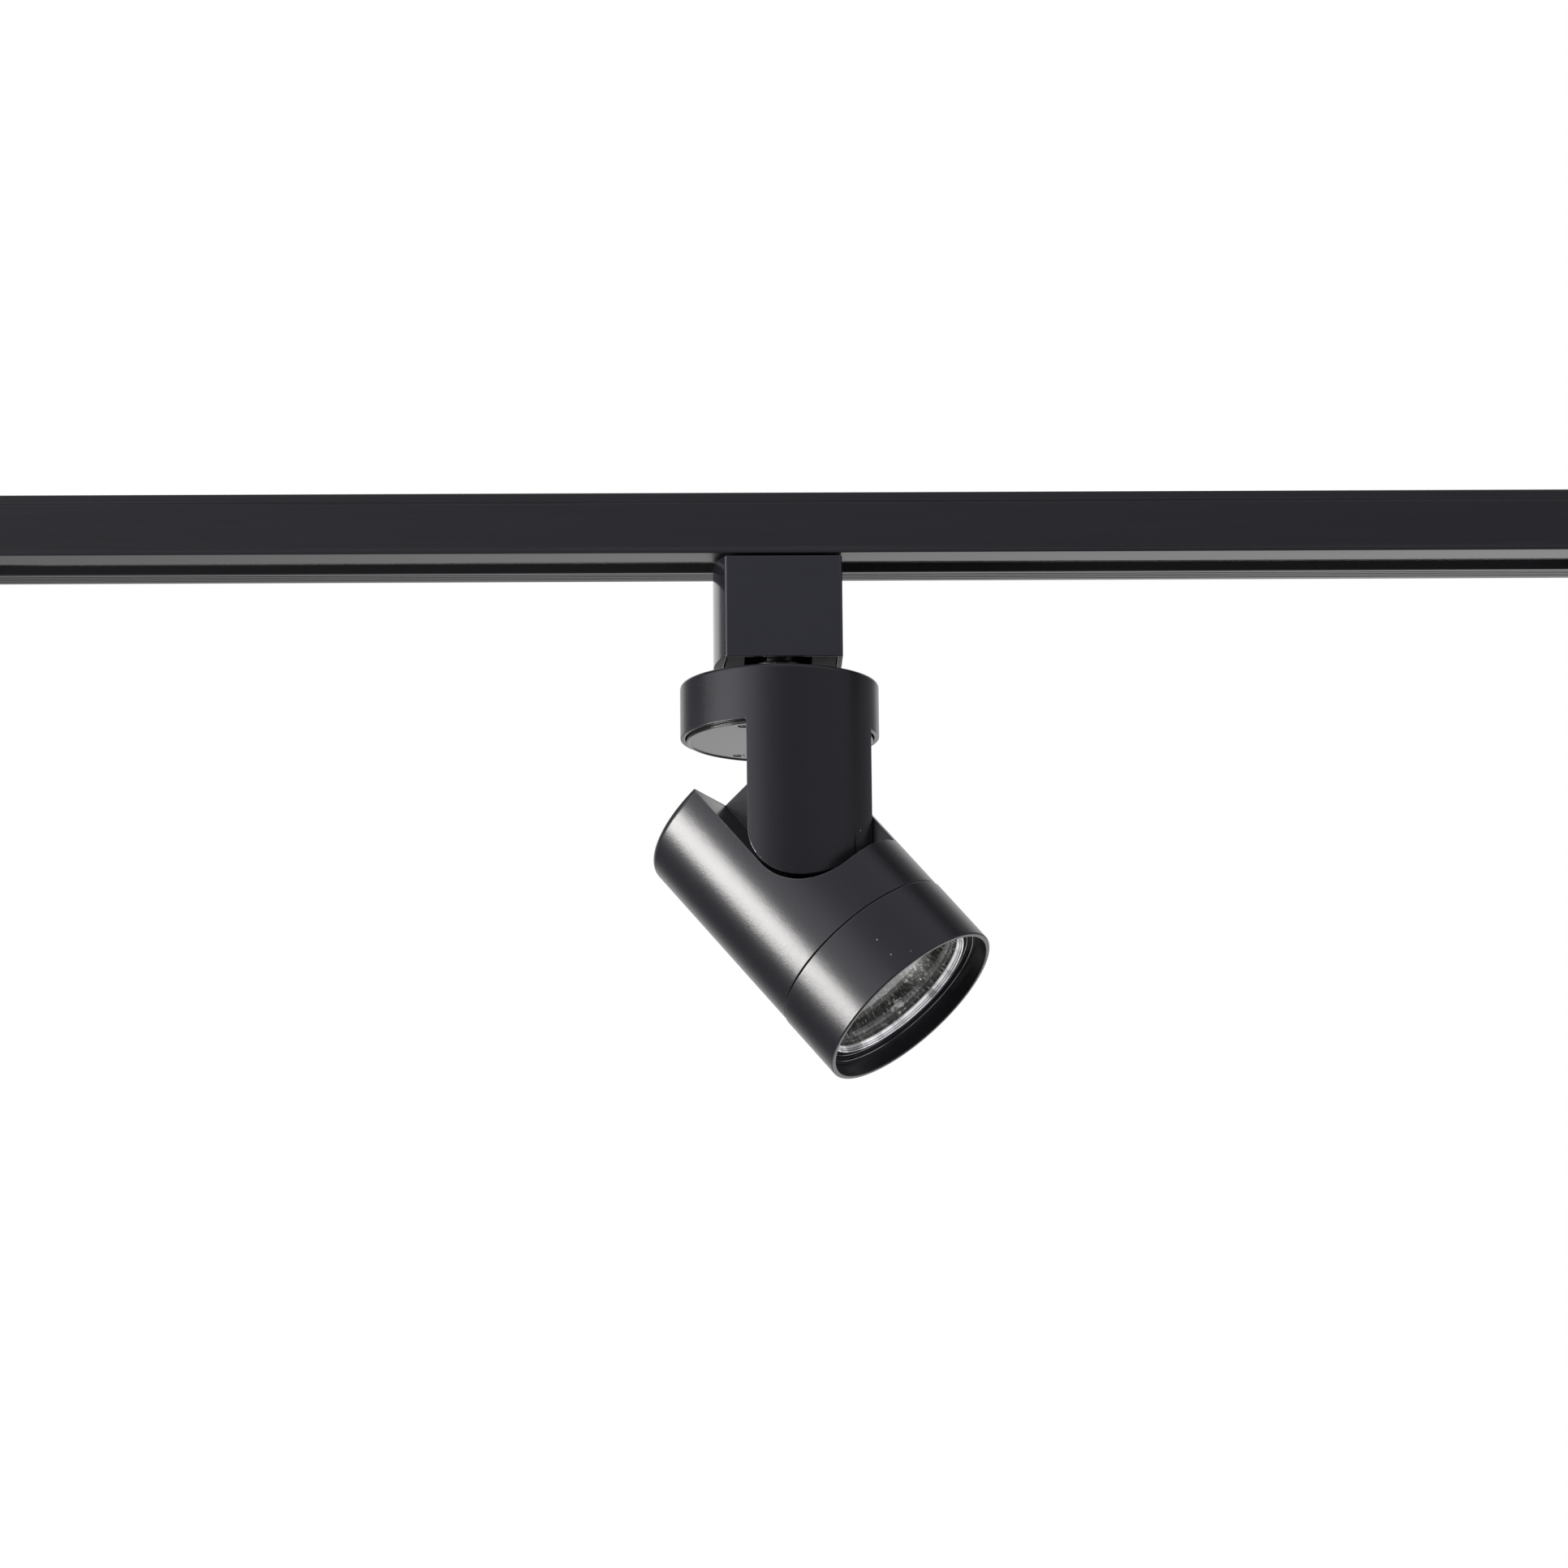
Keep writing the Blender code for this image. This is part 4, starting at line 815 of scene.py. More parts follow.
# An insulator on each side, its groove holding a copper strip.
GROOVE_HIGH, GROOVE_LOW = -6.3, -10.7
INSULATOR_Y = (8.3, 15.8)
INSULATOR = [  # (y, z)
    (INSULATOR_Y[0], -1.9), (INSULATOR_Y[1], -1.9), (INSULATOR_Y[1], -17.1),
    (INSULATOR_Y[0], -17.1), (INSULATOR_Y[0], GROOVE_LOW), (14.4, GROOVE_LOW),
    (14.4, GROOVE_HIGH), (INSULATOR_Y[0], GROOVE_HIGH),
]
for side, tag, wire in ((-1, "front", "live"), (1, "rear", "neutral")):
    outline = [(side * y, z) for y, z in INSULATOR]
    insulator = prism(outline, "x", -BAR_END + 1, BAR_END - 1, 0.3, 3)
    piece(insulator, f"insulator_{tag}", "track", WHITE)
    low_y, high_y = sorted((side * 13.0, side * 14.1))
    strip = block((-BAR_END + 3, low_y, GROOVE_LOW + 0.4),
                  (BAR_END - 3, high_y, GROOVE_HIGH - 0.4), 0.3)
    piece(strip, f"conductor_{wire}", "track", COPPER)

# End caps.
cap_outline = [
    (TRACK_HALF, 0, 1.0), (TRACK_HALF, -TRACK_HEIGHT, 1.0),
    (-TRACK_HALF, -TRACK_HEIGHT, 1.0), (-TRACK_HALF, 0, 1.0),
]
for side, tag in ((-1, "left"), (1, "right")):
    low, high = sorted((side * (TRACK_HALF_LENGTH - CAP_THICKNESS), side * TRACK_HALF_LENGTH))
    cap = prism(cap_outline, "x", low, high, 0, 6)
    piece(rounded(cap, 0.5), f"end_cap_{tag}", "track", MATT)

# ---------------------------------------------------------------- adapter core
BLOCK_TOP, BLOCK_BOTTOM = -26.0, z_of("adapter_core", "low")
RECESS_LEFT, RECESS_RIGHT, RECESS_ROOF = -10.6, 9.8, -42.0
SPRING_Y = 11.0


def bowed_box(left, right, half_depth, corner):
    """A rectangle whose left side bulges a little."""
    return [
        (left, -half_depth, corner), (right, -half_depth, corner),
        (right, half_depth, corner), (left, half_depth, corner),
        (left - 0.8, 6.0), (left - 0.9, 0.0), (left - 0.8, -6.0),
    ]


# The block, with a neck that rises into the track.
core = prism(bowed_box(-15.6, 17.0, 16.05, 0.5), "z", BLOCK_BOTTOM, BLOCK_TOP, 0, 3)
join(core, block((-15.0, -5.7, BLOCK_TOP - 2), (15.0, 5.7, -3.2), 0.4))
# The recess underneath and the locking foot's slot.
cut(core, block((RECESS_LEFT, -20, BLOCK_BOTTOM - 3), (RECESS_RIGHT, 20, RECESS_ROOF)))
cut(core, block((-6.4, -8, -15.8), (6.4, 8, -12.0)))
# On each side, a spring's bore and a contact's slot.
for side in (-1, 1):
    cut(core, turned(rod(3.1, -20.0, -37.0), 32, (0, side * SPRING_Y)))
    low_y, high_y = sorted((side * 3.6, side * 8))
    cut(core, block((-13.0, low_y, -9.5), (-4.0, high_y, -7.5)))
# The lead's bore, wider where the swivel nipple stands.
lead_bore = [(0, -16.6), (3.0, -16.6), (3.0, -37.5), (5.35, -37.5), (5.35, -45.0), (0, -45.0)]
cut(core, turned(lead_bore, SMALL))
piece(rounded(tidy(core), 0.15, 2), "adapter_core", "adapter", MATT)

# Foot, contacts and strap: node, lowest corner, highest corner, bevel, segments, look.
for node, lows, highs, bevel, segments, look in (
    ("locking_foot", (-6.0, -8.0, -15.4), (6.0, 8.0, -12.4), 0.5, 3, STEEL),
    ("contact_live", (-12.6, -12.7, -9.1), (-4.4, -4.0, -7.9), 0.3, 2, COPPER),
    ("contact_neutral", (-12.6, 4.0, -9.1), (-4.4, 12.7, -7.9), 0.3, 2, COPPER),
    ("contact_earth", (-7.0, -2.5, -2.9), (7.0, 2.5, -1.8), 0.3, 2, COPPER),
    ("earth_strap", (-3.8, -11.2, -50.4), (-2.4, -10.6, RECESS_ROOF - 0.3), 0.12, 2, STEEL),
):
    piece(block(lows, highs, bevel, segments), node, "adapter", look)

# Swivel: nipple, ribbed collar, washer and nut on the vertical axis.
SWIVEL_BORE = 5.3
nipple = turned(ring(5.0, 3.5, -37.9, -64.6), SMALL, soft=0.25)
piece(nipple, "swivel_nipple", "adapter", NICKEL)
COLLAR_RADIUS, COLLAR_GROOVE_RADIUS = 7.7, 7.1
COLLAR_TOP, COLLAR_BOTTOM = -49.6, -55.5
collar = [(COLLAR_RADIUS, COLLAR_TOP, 0.4)]
for step in range(2):
    top = -50.8 - 2.0 * step
    collar += [
        (COLLAR_RADIUS, top), (COLLAR_GROOVE_RADIUS, top - 0.3),
        (COLLAR_GROOVE_RADIUS, top - 0.6), (COLLAR_RADIUS, top - 0.9),
    ]
collar += [(COLLAR_RADIUS, COLLAR_BOTTOM), (SWIVEL_BORE, COLLAR_BOTTOM), (SWIVEL_BORE, COLLAR_TOP)]
piece(turned(collar, MID, soft=0.12), "swivel_collar", "adapter", NICKEL)
washer = turned(ring(9.0, SWIVEL_BORE, -58.4, -59.4), SMALL, soft=0.2)
piece(washer, "swivel_washer", "adapter", STEEL)
swivel_nut = prism(hexagon(8.3), "z", -63.7, -59.7)
cut(swivel_nut, turned(rod(SWIVEL_BORE, -58.0, -66.0), SMALL))
piece(rounded(swivel_nut, 0.35), "swivel_nut", "adapter", NICKEL)
supply_lead = tube([(0, 0, -17.2), (0, 0, -30), (0, 0, -50), (0, 0, -65.4)], 2.4)
piece(supply_lead, "supply_lead", "adapter", SHEATH)

# Two springs, each with a mesh of its own; on the real adapter they shorten as the sleeve is
# pulled.
for side, tag in ((-1, "front"), (1, "rear")):
    node = f"sleeve_spring_{tag}"
    low, high = z_of(node, "low"), z_of(node, "top")
    spring = coil((0, side * SPRING_Y), low, high, radius=2.3, wire=0.8, turns=6)
    piece(spring, node, "adapter", STEEL, weighted=False)
    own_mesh(spring)

# ---------------------------------------------------------------- adapter sleeve
SLEEVE_BOTTOM, SLEEVE_TOP = z_of("adapter_sleeve", "low"), -19.7
SLEEVE_RIGHT, SLEEVE_HALF_DEPTH = 18.9, 17.6
# The left side is a parabola from corner to corner.
BOW_CORNER_X, BOW_MIDDLE_X, BOW_STEPS = -16.3, -19.9, 28
bow = []
for i in range(BOW_STEPS, -1, -1):
    y = -SLEEVE_HALF_DEPTH + 2 * SLEEVE_HALF_DEPTH * i / BOW_STEPS
    bulge = 1 - (y / SLEEVE_HALF_DEPTH) ** 2
    bow.append((BOW_CORNER_X + (BOW_MIDDLE_X - BOW_CORNER_X) * bulge, y))
sleeve_outline = [
    (SLEEVE_RIGHT, -SLEEVE_HALF_DEPTH, 1.2), (SLEEVE_RIGHT, SLEEVE_HALF_DEPTH, 1.2),
    (*bow[0], 0.9), *bow[1:-1], (*bow[-1], 0.9),
]
sleeve = prism(sleeve_outline, "z", SLEEVE_BOTTOM, SLEEVE_TOP, 0, 8)
# The cavity, open below, and the opening for the core's neck.
cut(sleeve, prism(bowed_box(-15.95, 17.3, 16.45, 0.6), "z", SLEEVE_BOTTOM - 2, -21.3, 0, 3))
cut(sleeve, block((-15.6, -6.2, -24), (15.6, 6.2, -18)))
# A raised tab at each end of the top.
join(
    sleeve,
    block((-18.3, -5.6, -20.5), (-16.0, 5.6, -16.6), 0.3),
    block((16.0, -5.6, -20.5), (18.2, 5.6, -16.6), 0.3),
)
piece(rounded(tidy(sleeve), 0.22, 3, 45), "adapter_sleeve", "sleeve", GLOSS)

# ---------------------------------------------------------------- canopy and arm
CANOPY_TOP = z_of("canopy_arm_casting", "top")
CANOPY_RIM = -72.46
ARM_END = PIVOT_Z - ARM_RADIUS
PIVOT = (PIVOT_X, PIVOT_Z)
# (x, z) outline of the arm, round-ended about the pivot.
arm_outline = [
    (CLEAR_X, -68.5), (0.0, -68.5), *arc(PIVOT, ARM_RADIUS, 180, 360, 64), (CLEAR_X, PIVOT_Z),
]


def arm_prism():
    return prism(arm_outline, "y", -CLEAR_Y, ARM_FACE_Y)


# A cylinder as long as the arm, then everything below the rim but the arm cut away.
casting_low = ARM_END - 2.0
casting = turned(
    [(0, CANOPY_TOP), (BODY_RADIUS, CANOPY_TOP, 1.3), (BODY_RADIUS, casting_low), (0, casting_low)],
    steps=7,
)
below = block((-CLEAR_X, -CLEAR_X, ARM_END - 10), (CLEAR_X, CLEAR_X, CANOPY_RIM))
cut(below, arm_prism())
cut(casting, below)
# The canopy's room.
hollow = turned(rod(28.4, CANOPY_TOP - 2.2, CANOPY_RIM - 1.0))
cut(hollow, arm_prism())
cut(casting, hollow)
# The arm's room, open to the canopy's.
arm_hollow = prism(
    [(CLEAR_X, -60.0), (ARM_WALL, -60.0), *arc(PIVOT, ARM_RADIUS - ARM_WALL, 180, 360, 32),
     (CLEAR_X, PIVOT_Z)],
    "y", -CLEAR_Y, ARM_FACE_Y - ARM_WALL,
)
combine(arm_hollow, [turned(rod(27.9, -50, -130))], "INTERSECT")
cut(casting, arm_hollow)
# Holes for the swivel and the pivot.
cut(casting, turned(rod(5.6, CANOPY_TOP + 2, CANOPY_TOP - 4), SMALL))
cut(casting, lying(rod(PIVOT_BORE, 0, 8), (PIVOT_X, -8.0, PIVOT_Z)))
# Three drilled posts for the cover's screws.
POST_CIRCLE, POST_ANGLES = 23.2, (22.0, 142.0, 262.0)
posts = [
    (POST_CIRCLE * math.cos(math.radians(angle)), POST_CIRCLE * math.sin(math.radians(angle)))
    for angle in POST_ANGLES
]
join(casting, *[turned(rod(2.6, CANOPY_TOP - 1.0, -70.8), 36, post) for post in posts])
cut(casting, *[turned(rod(1.2, -64.0, -76.0), 24, post) for post in posts])
piece(rounded(tidy(casting), 0.4, 3, 40), "canopy_arm_casting", "canopy", SATIN)

# The cover plate: a low bead runs round it, a little proud of its face.
COVER_RADIUS = 28.1
cover_floor = COVER_FACE + 0.32
cover = turned([
    (0, COVER_FACE + 2.2), (COVER_RADIUS, COVER_FACE + 2.2, 0.2),
    (COVER_RADIUS, COVER_FACE, 0.3), (COVER_RADIUS - 0.75, COVER_FACE, 0.2),
    (COVER_RADIUS - 0.95, cover_floor, 0.1), (0, cover_floor),
])
cut(cover, block((-0.4, -40, COVER_FACE - 3), (40, ARM_FACE_Y + 0.4, COVER_FACE + 5)))
stepped_hole = [
    (0, COVER_FACE + 4), (1.25, COVER_FACE + 4), (1.25, COVER_FACE + 1.4),
    (1.8, COVER_FACE + 1.4), (1.8, COVER_FACE - 1), (0, COVER_FACE - 1),
]
cut(cover, *[turned(stepped_hole, SCREW, post) for post in posts])
piece(rounded(tidy(cover), 0.12, 2, 45), "canopy_cover", "canopy", COVER)

# Cross-head cover screws.
cover_screw = [
    (0, -66.0), (0.85, -66.0), (0.85, COVER_FACE + 1.1),
    (1.45, COVER_FACE + 1.1), (1.45, COVER_FACE + 0.45, 0.15), (0, COVER_FACE + 0.45),
]
for n, (x, y) in enumerate(posts, 1):
    screw = turned(cover_screw, SCREW, (x, y), steps=3)
    cut(screw, *[
        block((x - half_x, y - half_y, COVER_FACE - 1), (x + half_x, y + half_y, COVER_FACE + 0.85))
        for half_x, half_y in ((0.18, 0.95), (0.95, 0.18))
    ])
    piece(screw, f"cover_screw_{n}", "canopy", DARK_STEEL)

# Driver parts inside the canopy.
board = turned(ring(19.8, 10.5, -66.0, -67.6), SMALL, soft=0.1)
piece(board, "driver_board", "canopy", BOARD)
choke = block((-18.0, -6.0, -65.7), (-10.0, 6.0, -59.2), 0.8, 3)
piece(choke, "driver_choke", "canopy", FERRITE)
capacitor = lying(rod(3.2, 0, 10.0), (-5.0, 15.0, -62.2), direction=(1, 0, 0), soft=0.4)
piece(capacitor, "driver_capacitor", "canopy", CAN)
terminals = block((10.0, 3.0, -65.7), (17.0, 12.0, -59.0), 0.6, 3)
piece(terminals, "terminal_block", "canopy", WHITE)
arm_lead = tube(
    [(8.5, -10.0, -68.3), (9.5, -10.5, -78.0), (13.0, -12.0, -94.0), (14.8, -11.5, -102.5),
     (PIVOT_X, -8.5, PIVOT_Z), (PIVOT_X, -2.6, PIVOT_Z)],
    1.5,
)
piece(arm_lead, "arm_lead", "canopy", SHEATH)

# Pivot: hollow flanged pin, spring washer and nut.
PIVOT_THREAD = 4.35
pin = lying(
    [(6.5, 0.0), (6.5, 1.5), (4.0, 1.5), (4.0, 12.3), (2.6, 12.3), (2.6, 0.0)],
    (PIVOT_X, ARM_FACE_Y - ARM_WALL - 1.8, PIVOT_Z), soft=0.2,
)
piece(pin, "pivot_pin", "canopy", NICKEL)
spring_washer = lying(ring(7.5, PIVOT_THREAD, 0, 1.0), (PIVOT_X, 1.0, PIVOT_Z), soft=0.2)
piece(spring_washer, "pivot_spring_washer", "canopy", STEEL)
pivot_nut = prism(hexagon(6.35, PIVOT, 30), "y", 2.3, 5.3)
cut(pivot_nut, lying(rod(PIVOT_THREAD, 0, 8), (PIVOT_X, 0.0, PIVOT_Z)))
piece(rounded(pivot_nut, 0.3), "pivot_nut", "canopy", NICKEL)

# ---------------------------------------------------------------- head housing
# Drawn with the pivot at the origin, and the head's own axis to one side of it.
AXIS_X = -ARM_RADIUS
AXIS = (AXIS_X, 0.0)
HEAD_REAR, HEAD_WALL, LEDGE = 30.9, 2.2, -20.5
HEAD_INNER = BODY_RADIUS - 2.0
housing = turned(
    [
        (0, HEAD_REAR),
        (BODY_RADIUS, HEAD_REAR, 2.4),
        (BODY_RADIUS, HEAD_SEAM, 0.3),
        (28.1, HEAD_SEAM, 0.1),
        (28.1, HEAD_SEAM - 8.2, 0.3),
        (26.4, HEAD_SEAM - 8.2, 0.2),
        (26.4, HEAD_SEAM - 0.4),
        (HEAD_INNER, HEAD_SEAM + 1.2),
        (HEAD_INNER, LEDGE),
        (0, LEDGE),
    ],
    centre=AXIS, steps=7,
)
# The notch the arm swings in: a curve in x and z, then a floor that rises outward.
NOTCH_X, NOTCH_CENTRE, NOTCH_RADIUS, NOTCH_RISE = -15.7, (0.9, -1.5), 16.6, 0.2
NOTCH_FACE_Y = -1.5
notch_curve = arc(NOTCH_CENTRE, NOTCH_RADIUS, 180, 281, 48)
notch_end = notch_curve[-1]
notch_floor = (CLEAR_X, notch_end[1] + NOTCH_RISE * (CLEAR_X - notch_end[0]))
notch = [(CLEAR_X, CLEAR_Z), (NOTCH_X, CLEAR_Z), *notch_curve, notch_floor]
cut(housing, prism(notch, "y", -CLEAR_Y, NOTCH_FACE_Y))
# The rear room, held a wall's thickness off the notch and the rounded rear corner.
room = turned(rod(26.2, HEAD_REAR - 2.2, LEDGE - 3.0), centre=AXIS)
room_notch = [
    (CLEAR_X, CLEAR_Z), (NOTCH_X - HEAD_WALL, CLEAR_Z),
    *arc(NOTCH_CENTRE, NOTCH_RADIUS + HEAD_WALL + 0.3, 184, 258, 24),
    (2.0, LEDGE - 0.3), (CLEAR_X, LEDGE - 0.3),
]
cut(room, prism(room_notch, "y", -CLEAR_Y, NOTCH_FACE_Y + HEAD_WALL))
room_corner = [
    (3.0, CLEAR_Z), *arc((0, 0), HEAD_REAR - 2.4, 84, 40, 12), (CLEAR_X, 18.0), (CLEAR_X, CLEAR_Z),
]
cut(room, prism(room_corner, "y", -CLEAR_Y, CLEAR_Y))
# The rear corner rounded about the pivot.
corner = [(1.6, CLEAR_Z), *arc((0, 0), HEAD_REAR, 87, 50, 24), (CLEAR_X, 23.0), (CLEAR_X, CLEAR_Z)]
cut(housing, prism(corner, "y", -CLEAR_Y, CLEAR_Y))
rounded(tidy(housing), 0.6, 4, 40, clamp=True)
# The pivot's hole and the washer's seat.
cut(housing, lying(rod(PIVOT_BORE, 0, 8), (0, -4.0, 0)))
cut(housing, lying(rod(8.3, 0, 3.4), (0, -4.0, 0), segments=MID))
# Three lugs on the spigot.
join(housing, *[
    sector(120 * n - 4.4, 120 * n + 4.4, 27.4, 28.85, LUG_LOW, LUG_HIGH, 6, AXIS)
    for n in range(3)
])
cut(housing, room)
piece(rounded(tidy(housing), 0.12, 2, 60), "head_housing", "head", SATIN)
friction_washer = lying(ring(8.0, PIVOT_THREAD, 0, 0.9), (0, -1.8, 0), soft=0.15)
piece(friction_washer, "friction_washer", "head", FIBRE)

# ---------------------------------------------------------------- light engine
# The heat sink is a disc, BASE to FACE, with seven fins; the light source sits on its face.
BASE = LEDGE - 0.6
FACE = BASE - 4.0
FIN_COUNT, FIN_PITCH, FIN_HALF, FIN_CIRCLE = 7, 5.0, 0.8, 24.5
FIN_END_X, FIN_TOP = -19.5, 14.0
sink = turned([(0, BASE), (27.4, BASE, 0.3), (27.4, FACE, 0.3), (0, FACE)], MID, AXIS, steps=3)
fins = []
for n in range(FIN_COUNT):
    y = -15.0 + FIN_PITCH * n
    reach = math.sqrt(FIN_CIRCLE**2 - y**2)
    fins.append(block((AXIS_X - reach, y - FIN_HALF, BASE - 1.0),
                      (FIN_END_X, y + FIN_HALF, FIN_TOP)))
join(sink, *fins)
# The lead's hole.
cut(sink, turned(rod(2.6, -10, -30), SMALL, (-11.0, 18.0)))

# Thermal pad and LED, the LED with a round dome.
LED_HALF = 7.0
pad = block((AXIS_X - LED_HALF, -LED_HALF, FACE - 0.7), (AXIS_X + LED_HALF, LED_HALF, FACE - 0.3),
            0.1)
piece(pad, "thermal_pad", "head", PAD)
led = block((AXIS_X - LED_HALF, -LED_HALF, FACE - 2.0), (AXIS_X + LED_HALF, LED_HALF, FACE - 1.0),
            0.1)
dome = [(0, FACE - 1.5), (5.2, FACE - 1.5), (5.2, FACE - 2.3, 0.2), (4.8, FACE - 2.5, 0.2),
        (0, FACE - 2.5)]
join(led, turned(dome, SMALL, AXIS))
piece(led, "cob_led", "head", PHOSPHOR)

# The holder ring and its two slotted screws.
holder = turned(
    [(12.6, FACE - 0.3), (12.6, FACE - 3.4, 0.6), (6.4, FACE - 3.4, 0.3), (6.4, FACE - 2.3),
     (10.9, FACE - 2.3), (10.9, FACE - 0.3)],
    MID, AXIS,
)
holder_screw = [
    (0, FACE + 2.6), (0.9, FACE + 2.6), (0.9, FACE - 3.7), (1.9, FACE - 3.7),
    (1.9, FACE - 4.9, 0.6), (0, FACE - 4.9),
]
for n, y in enumerate((-9.0, 9.0), 1):
    cut(holder, turned(rod(1.35, FACE, FACE - 5), SCREW, (AXIS_X, y)))
    cut(sink, turned(rod(1.2, FACE + 3.0, FACE - 2), SCREW, (AXIS_X, y)))
    screw = turned(holder_screw, SCREW, (AXIS_X, y))
    cut(screw, block((AXIS_X - 0.2, y - 1.1, FACE - 6), (AXIS_X + 0.2, y + 1.1, FACE - 4.3)))
    piece(screw, f"holder_screw_{n}", "head", STEEL)
piece(rounded(holder, 0.15, 2, 45), "led_holder", "head", WHITE)
piece(rounded(tidy(sink), 0.15, 2, 45), "heat_sink", "head", ALUMINIUM)

# ---------------------------------------------------------------- reflector, in the trim's frame
BOWL_IN, BOWL_OUT, BOWL_LOW, BOWL_HIGH = 11.6, 23.5, -45.9, FACE - 3.8
BOWL_DEPTH = BOWL_HIGH - BOWL_LOW
# The outer skin is the inner one moved out and up.
SKIN_OUT, SKIN_UP = 0.9, 0.3
FLANGE_RADIUS, FLANGE_LOW, FLANGE_HIGH = 26.1, -41.9, -41.1


def bowl_radius(height):
    share = max(0.0, (BOWL_HIGH - height) / BOWL_DEPTH)
    return BOWL_IN + (BOWL_OUT - BOWL_IN) * math.sqrt(share)


def bowl(out, up, start=0.0, stop=1.0, steps=34):
    """The reflector's curve between two shares of its depth, moved out and up."""
    shares = [start + (stop - start) * i / steps for i in range(steps + 1)]
    return [
        (BOWL_IN + (BOWL_OUT - BOWL_IN) * math.sqrt(share) + out,
         BOWL_HIGH + (BOWL_LOW - BOWL_HIGH) * share + up)
        for share in shares
    ]


def crumple(angle, radius, height):
    """The peened face: shallow hollows drawn out along the axis, none on the rim."""
    if height < BOWL_LOW + 0.4 or height > BOWL_HIGH - 0.1:
        return 0.0
    spot = Vector((
        math.cos(angle) * radius * 0.62, math.sin(angle) * radius * 0.62, height * 0.22,
    ))
    fade = min(1.0, (height - BOWL_LOW - 0.4) / 1.5)
    return fade * (
        0.16 * noise.noise(spot) + 0.09 * noise.noise(spot * 2.6) + 0.05 * noise.noise(spot * 6.1)
    )


below_flange = (BOWL_HIGH + SKIN_UP - FLANGE_LOW) / BOWL_DEPTH + 0.02
above_flange = (BOWL_HIGH + SKIN_UP - FLANGE_HIGH) / BOWL_DEPTH - 0.02
reflector = turned(
    bowl(0.0, 0.0)
    + [(23.75, -46.6), (24.05, -47.65), (24.45, -47.65), (24.40, -46.0)]
    + bowl(SKIN_OUT, SKIN_UP, below_flange, 0.985, 6)[::-1]
    + [
        (bowl_radius(FLANGE_LOW - SKIN_UP) + SKIN_OUT, FLANGE_LOW),
        (FLANGE_RADIUS, FLANGE_LOW),
        (FLANGE_RADIUS, FLANGE_HIGH),
        (bowl_radius(FLANGE_HIGH - SKIN_UP) + SKIN_OUT, FLANGE_HIGH),
    ]
    + bowl(SKIN_OUT, SKIN_UP, 0.0, above_flange, 12)[::-1],
    OPTIC, wobble=crumple,
)
piece(reflector, "reflector", "head", REFLECTOR, place=TRIM, weighted=False)
head_lead = tube(
    [(0, 0.2, 0), (0.0, 7.5, 0), (-3.0, 12.0, -3.0), (-9.0, 17.5, -11.0),
     (-11.0, 18.0, -19.0), (-11.2, 18.0, FACE - 1.0)],
    1.4,
)
piece(head_lead, "head_lead", "head", SHEATH)

# ---------------------------------------------------------------- trim
TRIM_RADIUS, TRIM_INNER, HEAD_FRONT = 30.25, 28.45, -56.1
trim = turned(
    [
        (TRIM_RADIUS, HEAD_SEAM - 0.3, 0.3),
        (TRIM_RADIUS, HEAD_FRONT, 0.45),
        (28.75, HEAD_FRONT, 0.3),
        (28.75, -50.8, 0.12),
        (27.9, -50.8, 0.18),
        (27.9, -49.7, 0.12),
        (26.7, -49.7, 0.12),
        (26.6, -49.55, 0.1),
        (25.4, -49.55, 0.15),
        (25.4, -48.9, 0.1),
        (TRIM_INNER, -48.9),
        (TRIM_INNER, HEAD_SEAM - 0.3, 0.1),
    ],
    steps=5,
)
# Three grooves at the lugs' height, each with an entry from the rear.
for n in range(3):
    first = 120 * n - 37
    cut(trim, sector(first, 120 * n + 7, 27.9, 29.2, LUG_LOW - 0.5, LUG_HIGH + 0.5, 24, (0, 0)))
    cut(trim, sector(first, 120 * n - 23, 27.9, 29.2, LUG_LOW - 0.4, HEAD_SEAM + 3, 10, (0, 0)))
piece(tidy(trim), "trim_ring", "trim", SATIN)

# The faces that round its fine inner corners get a painted highlight.
LIP_CORNERS = ((27.9, -50.8), (26.65, -49.7), (25.4, -49.55))  # (radius, height)
LIP_REACH, LIP_SPAN = 0.13, 0.25 * MILLI
trim.data.materials.append(LIP_HIGHLIGHT)
kept = trim.data.attributes["local"].data
for face in trim.data.polygons:
    spots = [kept[index].vector for index in face.vertices]
    height = sum(spot.z for spot in spots) / len(spots) / MILLI
    out = sum(math.hypot(spot.x, spot.y) for spot in spots) / len(spots) / MILLI
    near_corner = any(
        abs(out - corner_out) < LIP_REACH and abs(height - corner_height) < LIP_REACH
        for corner_out, corner_height in LIP_CORNERS
    )
    if near_corner and max(abs(spot.z - spots[0].z) for spot in spots) < LIP_SPAN:
        face.material_index = 1

# The bright bezel round the glass.
bezel = turned(
    [
        (27.6, -46.6, 0.2), (27.6, -48.6, 0.2), (25.1, -48.6, 0.1), (25.1, -50.0, 0.12),
        (24.8, -50.0, 0.12), (24.2, -48.4, 0.15), (24.2, -47.8, 0.1), (26.0, -47.8, 0.08),
        (26.0, -46.6, 0.1),
    ],
    OPTIC,
)
piece(bezel, "lens_bezel", "trim", BEZEL)
glass = turned([(0, -46.75), (23.6, -46.75, 0.15), (23.85, -47.5, 0.15), (0, -47.5)], steps=3)
piece(glass, "front_glass", "trim", GLASS)
piece(turned(ring(27.9, 25.0, -45.1, -46.0), soft=0.25), "glass_gasket", "trim", GASKET)
piece(turned(ring(28.1, 26.4, -43.6, -44.8), soft=0.2), "retaining_ring", "trim", STEEL)


